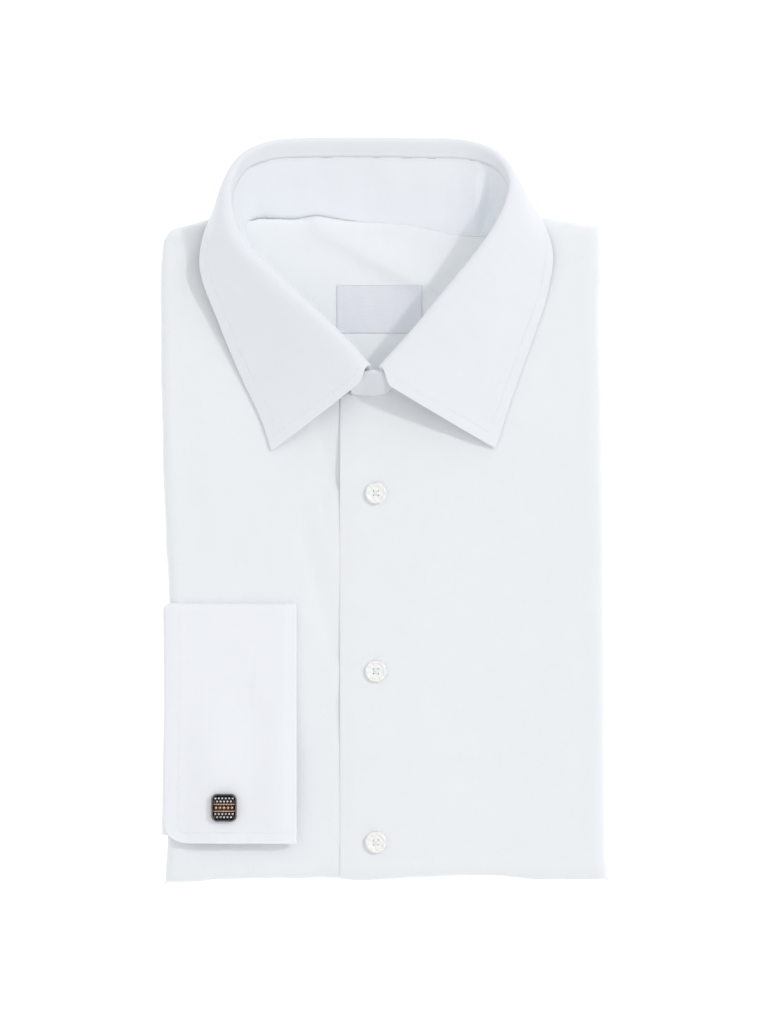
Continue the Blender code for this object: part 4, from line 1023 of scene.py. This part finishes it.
for end, by_end in ((0, leaf_places < -0.8), (-1, leaf_places > 0.8)):
    start = leaf_points[end, RISE_STEPS, :2]
    line = leaf_points[end, -1, :2] - start
    offset = leaf_points[..., :2] - start
    away = np.abs(offset[..., 0] * line[1] - offset[..., 1] * line[0]) / np.hypot(*line)
    front_distance = np.where(by_end[:, None] & (leaf_run >= 0.0), away, front_distance)
from_any = np.minimum(from_edge, front_distance)
leaf_normals = grid_normals(leaf_points)
leaf_length = measured(leaf_points[:, RISE_STEPS])
leaf_cut = np.stack([leaf_length[:, None] + 0.0 * leaf_run, leaf_run], -1)
edge_ramp, fold_ramp, pucker_ramp = LEAF_SWELL_RAMPS
swell = smooth_step(from_any, 0.0, edge_ramp) * smooth_step(leaf_run, 0.0, fold_ramp)
broad = waves(leaf_points[..., 0], leaf_points[..., 1], 71, 40.0, 110.0)
puckers = waves(leaf_cut[..., 0], leaf_cut[..., 1], 72, 7.0, 18.0)
groove = STITCH_GROOVE[0] * np.exp(-((from_any - EDGE_STITCH) / STITCH_GROOVE[1]) ** 2)
fullness, unevenness, puckering = LEAF_SWELL
leaf_shape = (fullness * swell + unevenness * swell * broad - groove
              + puckering * puckers * smooth_step(from_any, 0.0, pucker_ramp))
leaf_points = leaf_points + leaf_normals * leaf_shape[..., None]
share = np.clip(leaf_run / leaf_run[:, -1:], 0.0, 1.0)
standing = LEAF_STAND * 4.0 * share * (1.0 - share)
leaf_points[..., 2] += standing * smooth_step(leaf_places, *LEAF_STAND_FROM)[:, None]
sag = np.where(leaf_places < 0.0, *FRONT_SAGS)[:, None] * (1.0 - share)
sag = sag * smooth_step(share, 0.0, SAG_FROM)
sag = sag * (1.0 - smooth_step(front_distance, EDGE_STITCH + 0.5, SAG_WIDTH))
leaf_points[..., :2] += sag[..., None] * np.where((leaf_places < 0.0)[:, None, None], *SAG_WAYS)
# Painted shade: the leaf's poplin is drawn darker still than the neckband's, to dim the whole leaf
# as shade would.
shaded_leaf_poplin = woven_cotton("white_leaf_poplin", "EBEEF1", 0.9, 0.6)
collar_leaf = add_piece("collar_leaf_cloth", grid_mesh("collar_leaf", leaf_points, leaf_cut),
                        shaded_leaf_poplin, "collar_leaf", wall=LEAF_WALL, offset=0.0)
leaf_face = np.concatenate([leaf_points + leaf_normals * LEAF_WALL / 2, leaf_normals], -1)
stitch_row = leaf_run.shape[1] - 1 - EDGE_ROWS.index(EDGE_STITCH)
leaf_rows = [leaf_face[STITCH_INSET:-STITCH_INSET, stitch_row]]
for columns in (slice(0, STITCH_COLUMNS), slice(-1, -1 - STITCH_COLUMNS, -1)):
    leaf_rows.append(np.array([
        [np.interp(EDGE_STITCH, front_distance[columns, row], leaf_face[columns, row, k])
         for k in range(6)] for row in range(STITCH_START, stitch_row + 1)]))
sew("collar_leaf_stitching", [(row[:, :3], row[:, 3:]) for row in leaf_rows])

# ---------------------------------------------------------------- right sleeve and cuff
# The sleeve is a flattened tube of poplin, wrapped round the right side. The French cuff is a
# stiffer double tube turned back on itself, and its open ends kiss at the hem's side.

CUFF_FOLD_X = -47.6        # where the cuff turns back, where its ends kiss, and its other side
CUFF_KISS_Y = -182.6
CUFF_TOP_Y = -51.2
CUFF_CORNER = 11.0
CUFF_CORNER_REACH = 7.0
CUFF_INNER = 0.85          # half the distance between the sides of the inner and the outer tube
CUFF_OUTER = 2.6
CUFF_REST = 0.4
CUFF_STEP = 1.1            # layers of the cuff lie this close together
CUFF_WALL = 1.0
CUFF_TILT = 4.4            # the link lifts the cuff's lower corner
CUFF_TILT_X = [-114.0, -91.0]
CUFF_TILT_Y = [92.0, 150.0]
CUFF_ROUND = 13.6          # the radius that its length runs round the side fold at
CUFF_SLIMMER = 0.34        # it is pressed flatter by its fold, within so far of it
CUFF_SLIM_WIDTH = 7.5
CUFF_LOWER = 0.1
CUFF_WAVE = 0.16
CUFF_ROWS = [0.0, 0.5, 1.1, 1.8, 2.6, 3.4, 4.2, 4.9, 5.5, EDGE_STITCH, 6.5, 7.1, 7.8, 8.6]
CUFF_FLAT_COLUMNS = 46
CUFF_INSIDE_STEP = 1.3
CUFF_GRID_STEP = 1.6
CUFF_RUN_AT = (40, 30)     # the column and the row that its flat size is measured along
CUFF_NARROWER = 4.6        # the inner layers run in towards the narrower sleeve
CUFF_NARROW_RAMP = (-8.0, 10.0)
CUFF_NARROW_UP = 40.0
CUFF_END_TURN = 39.0       # how far round the side fold the turned-back layers go
CUFF_SEAM_TURN = 74.0      # where the cuff is sewn to the sleeve
SLEEVE_START_TURN = 75.5   # the sleeve comes out of the cuff here, and ends under the pack
SLEEVE_END_TURN = 132.0
SLEEVE_TURN_STEP = 4.0
SLEEVE_PLEATS = 0.35
SLEEVE_SUNK = 0.2
CUFF_SHAPES = [
    # x1,    y1,     x2,    y2,    depth, half width: the link draws the cloth in beside it
    (-74.0, -172.0, -72.0, -112.0, 1.4, 14.0),
    (-54.0, -170.0, -56.0, -120.0, -0.5, 9.0),
]
CUFF_SHAPES_RAMP = (2.0, 14.0)


def side_fold(y):
    """Where the side fold's round part begins."""
    return left_edge(y) + inward


sleeve_middle = FRONT_OUT + CUFF_REST + CUFF_STEP / 2 + CUFF_INNER
sleeve_ys = spaced(SLEEVE_Y[0] + CUFF_INNER, SLEEVE_Y[1] - CUFF_INNER, CUFF_GRID_STEP)
bends = np.radians(np.linspace(90.0, -90.0, 9))[1:-1]
ring_y = np.concatenate([sleeve_ys, sleeve_ys[-1] + CUFF_INNER * np.cos(bends), sleeve_ys[::-1],
                         sleeve_ys[0] - CUFF_INNER * np.cos(bends), sleeve_ys[:1]])
ring_half = np.concatenate([np.ones_like(sleeve_ys), np.sin(bends), -np.ones_like(sleeve_ys),
                            -np.sin(bends), [1.0]]) * CUFF_INNER
sleeve_turn = np.radians(
    spaced(SLEEVE_START_TURN, SLEEVE_END_TURN, SLEEVE_TURN_STEP))[::-1, None]
ring_run = measured(np.stack([ring_y, ring_half], -1))
sleeve_v = ring_y[None] + 0.0 * sleeve_turn
sleeve_u = side_fold(sleeve_v) - sleeve_turn * ROUND
sleeve_cut = np.stack([sleeve_u, ring_run[None] + 0.0 * sleeve_turn], -1)
pleats = SLEEVE_PLEATS * waves(0.15 * sleeve_u, sleeve_v, 81, 9.0, 40.0)
sleeve_points = pack_surface(sleeve_u, sleeve_v,
                             sleeve_middle + ring_half[None] + pleats - SLEEVE_SUNK)
sleeve_mesh = grid_mesh("right_sleeve", sleeve_points, sleeve_cut)
weld(sleeve_mesh)
right_sleeve = add_piece("right_sleeve_cloth", sleeve_mesh, poplin, "right_sleeve", wall=PLY)

fold_radius = (CUFF_OUTER - CUFF_INNER) / 2
fold_middle = CUFF_FOLD_X - fold_radius - CUFF_STEP / 2
cuff_end, cuff_seam = (-math.radians(turn) * CUFF_ROUND
                       for turn in (CUFF_END_TURN, CUFF_SEAM_TURN))
round_part = cuff_end + np.array(CUFF_ROWS)
flat_share = np.linspace(0.0, 1.0, CUFF_FLAT_COLUMNS)
bend_turns = np.linspace(0.0, math.pi, 9)[1:-1]
# each column: distance past the side fold's centre, share of the flat part, half distance apart
cuff_columns = ([(d, 0.0, CUFF_OUTER) for d in round_part]
                + [(0.0, t, CUFF_OUTER) for t in flat_share]
                + [(fold_radius * math.sin(a), 1.0, CUFF_INNER + fold_radius * (1.0 + math.cos(a)))
                   for a in bend_turns]
                + [(0.0, t, CUFF_INNER) for t in flat_share[::-1]]
                + [(d, 0.0, CUFF_INNER) for d in round_part[::-1]]
                + [(d, 0.0, CUFF_INNER)
                   for d in spaced(cuff_seam, cuff_end, CUFF_INSIDE_STEP)[:-1][::-1]])
column_d, column_share, column_half = (np.array(column)[:, None] for column in zip(*cuff_columns))
corner_y = CUFF_KISS_Y + CUFF_CORNER * (1.0 - np.cos(np.radians(np.linspace(0.0, 90.0, 14))))
last_y = CUFF_TOP_Y - CUFF_OUTER
upper_y = np.concatenate([corner_y, spaced(corner_y[-1], last_y, CUFF_GRID_STEP)[1:]])
tube_turns = np.radians(np.linspace(90.0, -90.0, 11))[1:-1]
row_y = np.concatenate([upper_y, np.full_like(tube_turns, last_y), upper_y[::-1]])[None]
row_turn = np.concatenate([np.full_like(upper_y, QUARTER), tube_turns,
                           np.full_like(upper_y, -QUARTER)])[None]
side = side_fold(row_y)
cuff_d = column_d + column_share * (fold_middle - side)
from_kiss = np.minimum(row_y - CUFF_KISS_Y, CUFF_CORNER)
corner = CUFF_CORNER - np.sqrt(np.maximum(CUFF_CORNER**2 - (CUFF_CORNER - from_kiss) ** 2, 0.0))
part = (cuff_d - cuff_end) / (CUFF_CORNER_REACH - cuff_end)
cornered = (column_half == CUFF_OUTER) & (cuff_d < CUFF_CORNER_REACH)
cuff_d = np.where(cornered, blend(cuff_end + corner, CUFF_CORNER_REACH, part), cuff_d)
cuff_v = np.where(np.abs(row_turn) < QUARTER, last_y + column_half * np.cos(row_turn), row_y)
narrower = CUFF_NARROWER * smooth_step(-cuff_d, *CUFF_NARROW_RAMP)
narrower = narrower * (column_half == CUFF_INNER)
cuff_v = cuff_v + narrower * np.maximum(1.0 - (cuff_v - CUFF_KISS_Y) / CUFF_NARROW_UP, 0.0)
cuff_x = side + cuff_d
cuff_u = side + np.where(cuff_d < 0.0, cuff_d * ROUND / CUFF_ROUND, cuff_d)
turned_back = smooth_step(np.degrees(np.minimum(cuff_d, 0.0) / CUFF_ROUND), -CUFF_SEAM_TURN,
                          -CUFF_END_TURN)
middle = CUFF_REST + CUFF_STEP / 2 + blend(CUFF_INNER, CUFF_OUTER, turned_back)
from_fold = fold_middle + fold_radius - cuff_x
slimmer = 1.0 - CUFF_SLIMMER * smooth_step(-from_fold, -CUFF_SLIM_WIDTH, 0.0)
tilt = CUFF_TILT * smooth_step(-cuff_v, *CUFF_TILT_Y) * smooth_step(cuff_x, *CUFF_TILT_X)
drawn_in = crease_depth(cuff_x, cuff_v, CUFF_SHAPES) * smooth_step(from_fold, *CUFF_SHAPES_RAMP)
uneven = CUFF_WAVE * waves(cuff_x, cuff_v, 91, 30.0, 90.0) - CUFF_LOWER - drawn_in
cuff_lift = (FRONT_OUT + middle * blend(1.0, slimmer, 0.5) + tilt
             + column_half * slimmer * np.sin(row_turn) + uneven)
cuff_points = pack_surface(cuff_u, cuff_v + 0.0 * cuff_u, cuff_lift)
cuff_normals = grid_normals(cuff_points)
outer_upper = (column_half == CUFF_OUTER) & (row_turn > 0.0)
from_any = np.minimum(cuff_d - (cuff_end + corner), cuff_v - CUFF_KISS_Y)
groove = STITCH_GROOVE[0] * np.exp(-((from_any - EDGE_STITCH) / STITCH_GROOVE[1]) ** 2)
cuff_points = cuff_points - cuff_normals * np.where(outer_upper, groove, 0.0)[..., None]
cuff_cut = np.stack([measured(cuff_points[:, CUFF_RUN_AT[1]])[:, None] + 0.0 * cuff_d,
                     measured(cuff_points[CUFF_RUN_AT[0]])[None] + 0.0 * cuff_d], -1)
right_cuff = add_piece("right_cuff_cloth", grid_mesh("right_cuff", cuff_points, cuff_cut),
                       shaded_collar_poplin, "right_cuff", wall=CUFF_WALL, offset=0.0)
cuff_face = cuff_points + cuff_normals * CUFF_WALL / 2
stitch_column = CUFF_ROWS.index(EDGE_STITCH)
kiss_row = int(np.argmin(np.abs(upper_y - CUFF_KISS_Y - EDGE_STITCH)))
by_kiss = (slice(stitch_column, len(CUFF_ROWS) + len(flat_share)), kiss_row)
by_end = (stitch_column, slice(kiss_row, len(upper_y) - 2))
sew("right_cuff_stitching", [(cuff_face[at], cuff_normals[at]) for at in (by_kiss, by_end)])

# ---------------------------------------------------------------- cufflink
# The face is cast silver with a raised rim, blackened on its sunk floor. Its silver is drawn
# darker than the studs', as painted shade on the rim. Two rows of small bright studs lie above
# and two below a band of rose gold beads between twisted wires, all soldered to its sunk floor.
# A post goes through the cuff's four layers to a toggle underneath.

LINK_CORNER = 3.2          # radius of its corners
LINK_RIM = 1.0
LINK_FLOOR = 1.5           # height of the sunk floor inside the rim
LINK_SECTION = [
    # inset, height above the cuff's side of the face
    (0.9, 0.0), (0.25, 0.15), (0.0, 0.7), (0.0, 1.7), (0.1, 2.15), (0.3, 2.45), (0.5, 2.55),
    (0.75, 2.45), (LINK_RIM - 0.1, 2.25), (LINK_RIM, LINK_FLOOR + 0.3),
    (LINK_RIM + 0.2, LINK_FLOOR),
]
ROUND_STEPS = 10
STUD_ROWS = [-5.15, -3.45, 3.45, 5.15]
STUD_PITCH = 1.9
STUD_RADIUS = 0.96
STUD_HEIGHT = 1.1
STUD_MARGIN = 0.6          # their middles stay this clear of the rim
DOME_RISE = [-0.25, 0.25, 0.6, 0.95, 1.25]
BEAD_PITCH = 2.2
BEAD_RADIUS = 1.12
BEAD_HEIGHT = 1.15
BEAD_LIFT = 0.1            # beads and wires stand this far off the floor
WIRE_Y = 1.9               # the two twisted wires lie this far from the middle
WIRE_RADIUS = 0.52
WIRE_LIFT = 0.3
WIRE_TWIST = 2.2           # radians of twist in a millimetre
WIRE_FLAT = 0.28           # its section is an oval by this share, so the twist shows


def darkened_silver(name, colour, dark, roughness):
    """Oxidised metal, rubbed: nearly black in its hollows and bright on its high places.

    Its scratches are drawn about 0.3 mm apart, which is as fine as they can show.
    """
    material, tree, shader = start_material(name, colour, roughness, {"Metallic": 1.0})
    place = add_node(tree, "ShaderNodeTexCoord").outputs["Object"]
    tarnish = add_node(tree, "ShaderNodeTexNoise", {"Scale": 900.0, "Detail": 3.0},
                       [("Vector", place)])
    scratches = add_node(tree, "ShaderNodeTexNoise", {"Scale": 3500.0, "Detail": 2.0},
                         [("Vector", place)])
    hollow = add_node(tree, "ShaderNodeAmbientOcclusion", {"Distance": 0.0009, "samples": 6})
    spread_out = add_node(tree, "ShaderNodeMapRange", {"From Min": 0.55, "From Max": 0.95},
                          [("Value", hollow.outputs["AO"])])
    rubbed = add_node(tree, "ShaderNodeMath", {"operation": "MULTIPLY_ADD", 1: 1.1, 2: -0.04},
                      [(0, spread_out.outputs["Result"])])
    mottled = add_node(tree, "ShaderNodeMath", {"operation": "MULTIPLY", "use_clamp": True},
                       [(0, rubbed.outputs["Value"]), (1, tarnish.outputs["Fac"])])
    shade = add_node(tree, "ShaderNodeMix", {"data_type": "RGBA", 6: linear(dark),
                                             7: linear(colour)},
                     [(0, mottled.outputs["Value"])])
    tree.links.new(shade.outputs[2], shader.inputs["Base Color"])
    bump = add_node(tree, "ShaderNodeBump", {"Strength": 0.2, "Distance": 0.00004},
                    [("Height", scratches.outputs["Fac"])])
    tree.links.new(bump.outputs["Normal"], shader.inputs["Normal"])
    return material


old_silver = darkened_silver("oxidised_silver", "FBF9F4", "35312E", 0.26)
# Painted shade: the casting is a darker silver than the studs so that its rim looks shaded; the
# darkness in its hollows is the real blackening.
blackened_and_shaded_silver = darkened_silver("blackened_and_shaded_silver_casting", "96928D", "24211F", 0.3)
rose_gold = darkened_silver("rose_gold", "FBD3BA", "74503D", 0.24)
link_low, link_high = (np.array(corner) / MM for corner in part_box("link_face"))
link_middle = (link_low + link_high) / 2
link_half = (link_high - link_low) / 2


def rounded_square(half_x, half_y, corner, steps=7):
    """The points round a square with rounded corners, anticlockwise."""
    points = []
    for quarter, (sx, sy) in enumerate([(1, 1), (-1, 1), (-1, -1), (1, -1)]):
        for turn in np.linspace(0.0, QUARTER, steps):
            angle = turn + quarter * QUARTER
            points.append((sx * (half_x - corner) + corner * math.cos(angle),
                           sy * (half_y - corner) + corner * math.sin(angle)))
    return np.array(points)


def domes(name, centres, radius, height, material):
    """Small round studs, a quarter-round rise over each centre."""
    rise = np.array(DOME_RISE)[:, None]
    turn = np.arange(ROUND_STEPS) * 2 * math.pi / ROUND_STEPS
    dome = np.stack([radius * np.cos(rise) * np.cos(turn), radius * np.cos(rise) * np.sin(turn),
                     height * np.sin(rise) + 0.0 * turn], -1)
    solids = [np.array(centre) + dome for centre in centres]
    add_piece(name, ringed_mesh(name, solids), material)


rings = []
for inset, height in LINK_SECTION:
    outline = rounded_square(link_half[0] - inset, link_half[1] - inset,
                             max(LINK_CORNER - 0.75 * inset, 0.6))
    rings.append(np.concatenate([outline + link_middle[:2],
                                 np.full((len(outline), 1), link_low[2] + height)], axis=1))
add_piece("link_face_casting", ringed_mesh("link_face_casting", [np.array(rings)]), blackened_and_shaded_silver,
          "link_face")

floor_z = link_low[2] + LINK_FLOOR
field_x = link_half[0] - LINK_SECTION[-1][0]
studs = []
for row, y in enumerate(link_middle[1] + np.array(STUD_ROWS)):
    for x in (np.arange(-3.0, 4.0) + 0.5 * (row % 2)) * STUD_PITCH:
        if abs(x) < field_x - STUD_MARGIN:
            studs.append((link_middle[0] + x, y, floor_z))
domes("link_studs", studs, STUD_RADIUS, STUD_HEIGHT, old_silver)
beads = [(link_middle[0] + x, link_middle[1], floor_z + BEAD_LIFT)
         for x in np.arange(-2.0, 3.0) * BEAD_PITCH]
domes("link_beads", beads, BEAD_RADIUS, BEAD_HEIGHT, rose_gold)

wire_x = np.linspace(-field_x, field_x, 60)[:, None]
turn = (np.arange(ROUND_STEPS) * 2 * math.pi / ROUND_STEPS)[::-1]
girth = WIRE_RADIUS * (1.0 + WIRE_FLAT * np.cos(2 * (turn - wire_x * WIRE_TWIST)))
for name, wire_y in (("link_wire_low", -WIRE_Y), ("link_wire_high", WIRE_Y)):
    wire = np.stack([link_middle[0] + wire_x + 0.0 * turn,
                     link_middle[1] + wire_y + girth * np.cos(turn),
                     floor_z + WIRE_LIFT + girth * np.sin(turn)], -1)
    add_piece(name, ringed_mesh(name, [wire]), rose_gold)
plain_silver = darkened_silver("polished_silver", "E2E0DB", "8D8A85", 0.22)
for node_name in ("link_post", "link_toggle"):
    for slot_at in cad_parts[node_name].material_slots:
        slot_at.material = plain_silver

# ---------------------------------------------------------------- buttons
# Mother of pearl, turned, with a low rim and four holes, sewn on through a buttonhole that is
# worked lengthwise in the left front.

BUTTON_STEPS = 56
BUTTON_EYE = 0.02          # the smallest ring, at the middle
BUTTON_HOLE = 0.42         # radius of its holes, and how far they are from its middle each way
BUTTON_HOLE_AT = 1.2
DRILL_LENGTH = 8.0
BUTTON_SECTION = [
    # radius, height: a half of the section, from the back over the rim to the middle
    (0.0, -1.15), (3.6, -1.15), (4.7, -1.0), (5.5, -0.55), (5.85, -0.05), (5.9, 0.25),
    (5.82, 0.62), (5.6, 0.92), (5.25, 1.08), (4.85, 1.1), (4.5, 1.0), (4.2, 0.82), (3.9, 0.66),
    (3.4, 0.56), (2.4, 0.5), (1.2, 0.47), (0.0, 0.46),
]
STRAND_RADIUS = 0.17
STRANDS = [-0.2, 0.0, 0.2]  # beside each other
STRAND_RISE = 0.62         # above the button's middle, and higher in an arch from hole to hole
STRAND_ARCH = 0.32
STRAND_OVER = 0.2          # the second loop crosses over the first by this
STRAND_SINK = 14.0
UPWARDS = np.array([0.0, 0.0, 1.0])
BUTTONHOLE_LENGTH = 12.6
BUTTONHOLE_HALF = 0.75     # its two rows of stitches lie this far from the slit
BUTTONHOLE_RAISED = 0.05


def mother_of_pearl(name):
    """Shell nacre, polished: milky, clear at its surface, with faint pink and green clouds."""
    material, tree, shader = start_material(name, "F4F2EC", 0.14, {
        "Specular IOR Level": 0.6, "IOR": 1.58, "Coat Weight": 0.5, "Coat Roughness": 0.06,
        "Subsurface Weight": 0.2, "Subsurface Scale": 0.0008})
    place = add_node(tree, "ShaderNodeTexCoord").outputs["Object"]
    clouds = add_node(tree, "ShaderNodeTexNoise", {"Scale": 260.0, "Detail": 3.0,
                                                   "Distortion": 1.2}, [("Vector", place)])
    layers = add_node(tree, "ShaderNodeTexWave", {"Scale": 150.0, "bands_direction": "DIAGONAL",
                                                  "Distortion": 5.0, "Detail": 2.0},
                      [("Vector", place)])
    tint = add_node(tree, "ShaderNodeMix", {"data_type": "RGBA", 6: linear("F1EDE8"),
                                            7: linear("EBEFEA")}, [(0, clouds.outputs["Fac"])])
    shade = add_node(tree, "ShaderNodeMix", {"data_type": "RGBA", 7: linear("FBFAF6")},
                     [(0, layers.outputs["Fac"]), (6, tint.outputs[2])])
    tree.links.new(shade.outputs[2], shader.inputs["Base Color"])
    return material


pearl = mother_of_pearl("mother_of_pearl")
radii, heights = (column[:, None] for column in np.array(BUTTON_SECTION).T)
turn = np.arange(BUTTON_STEPS) * 2 * math.pi / BUTTON_STEPS
radii = np.maximum(radii, BUTTON_EYE)
disc = np.stack([radii * np.cos(turn), radii * np.sin(turn), heights + 0.0 * turn], -1)
corners = [(sx * BUTTON_HOLE_AT, sy * BUTTON_HOLE_AT) for sx in (-1, 1) for sy in (-1, 1)]
for index in (1, 2, 3):
    low, high = (np.array(corner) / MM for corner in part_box(f"button_{index}"))
    middle = (low + high) / 2
    button = add_piece(f"pearl_button_{index}", ringed_mesh(f"pearl_button_{index}",
                                                            [middle + disc]),
                       pearl, f"button_{index}")
    drill = bmesh.new()
    for x, y in corners:
        made = bmesh.ops.create_cone(drill, cap_ends=True, segments=14, radius1=BUTTON_HOLE * MM,
                                     radius2=BUTTON_HOLE * MM, depth=DRILL_LENGTH * MM)
        bmesh.ops.translate(drill, verts=made["verts"],
                            vec=Vector((middle[0] + x, middle[1] + y, middle[2])) * MM)
    holes_mesh = bpy.data.meshes.new("button_holes")
    drill.to_mesh(holes_mesh)
    drill.free()
    holes = bpy.data.objects.new("button_holes", holes_mesh)
    bpy.context.scene.collection.objects.link(holes)
    cut_out(button, holes)

    # the thread: two crossed loops, each of three strands, from hole to hole
    strands = []
    t = np.linspace(-0.1, 1.1, 22)
    along = np.clip(t, 0.0, 1.0)
    turn = (np.arange(6) * math.pi / 3)[:, None]
    for (x1, y1), (x2, y2), over in ((corners[0], corners[3], 0.0),
                                     (corners[1], corners[2], STRAND_OVER)):
        straight = unit(np.array([x2 - x1, y2 - y1, 0.0]))
        across = np.cross(straight, UPWARDS)
        rise = (STRAND_RISE + over + STRAND_ARCH * np.sin(math.pi * along) ** 0.6
                - STRAND_SINK * np.abs(t - along))
        for beside in STRANDS:
            line = middle + np.stack([blend(x1, x2, along), blend(y1, y2, along), rise], -1)
            line = line + across * beside
            strands.append(line[:, None]
                           + STRAND_RADIUS * (np.cos(turn) * across + np.sin(turn) * UPWARDS))
    add_piece(f"button_thread_{index}", ringed_mesh(f"button_thread_{index}", strands),
              sewing_thread)

    # the buttonhole: close stitches across a slit that runs lengthwise
    hole_y = middle[1] + np.linspace(-0.5, 0.5, 60) * BUTTONHOLE_LENGTH
    bars = []
    for beside in (-BUTTONHOLE_HALF, BUTTONHOLE_HALF):
        hole_x = np.full_like(hole_y, middle[0] + beside)
        face_z = MID_HEIGHT + half_height(hole_x, hole_y) + left_lift(hole_x, hole_y)
        bars.append((np.stack([hole_x, hole_y, face_z + BUTTONHOLE_RAISED], -1),
                     np.tile(UPWARDS, (len(hole_y), 1))))
    sew(f"buttonhole_{index}", bars, spacing=0.42, length=0.36, width=1.0)
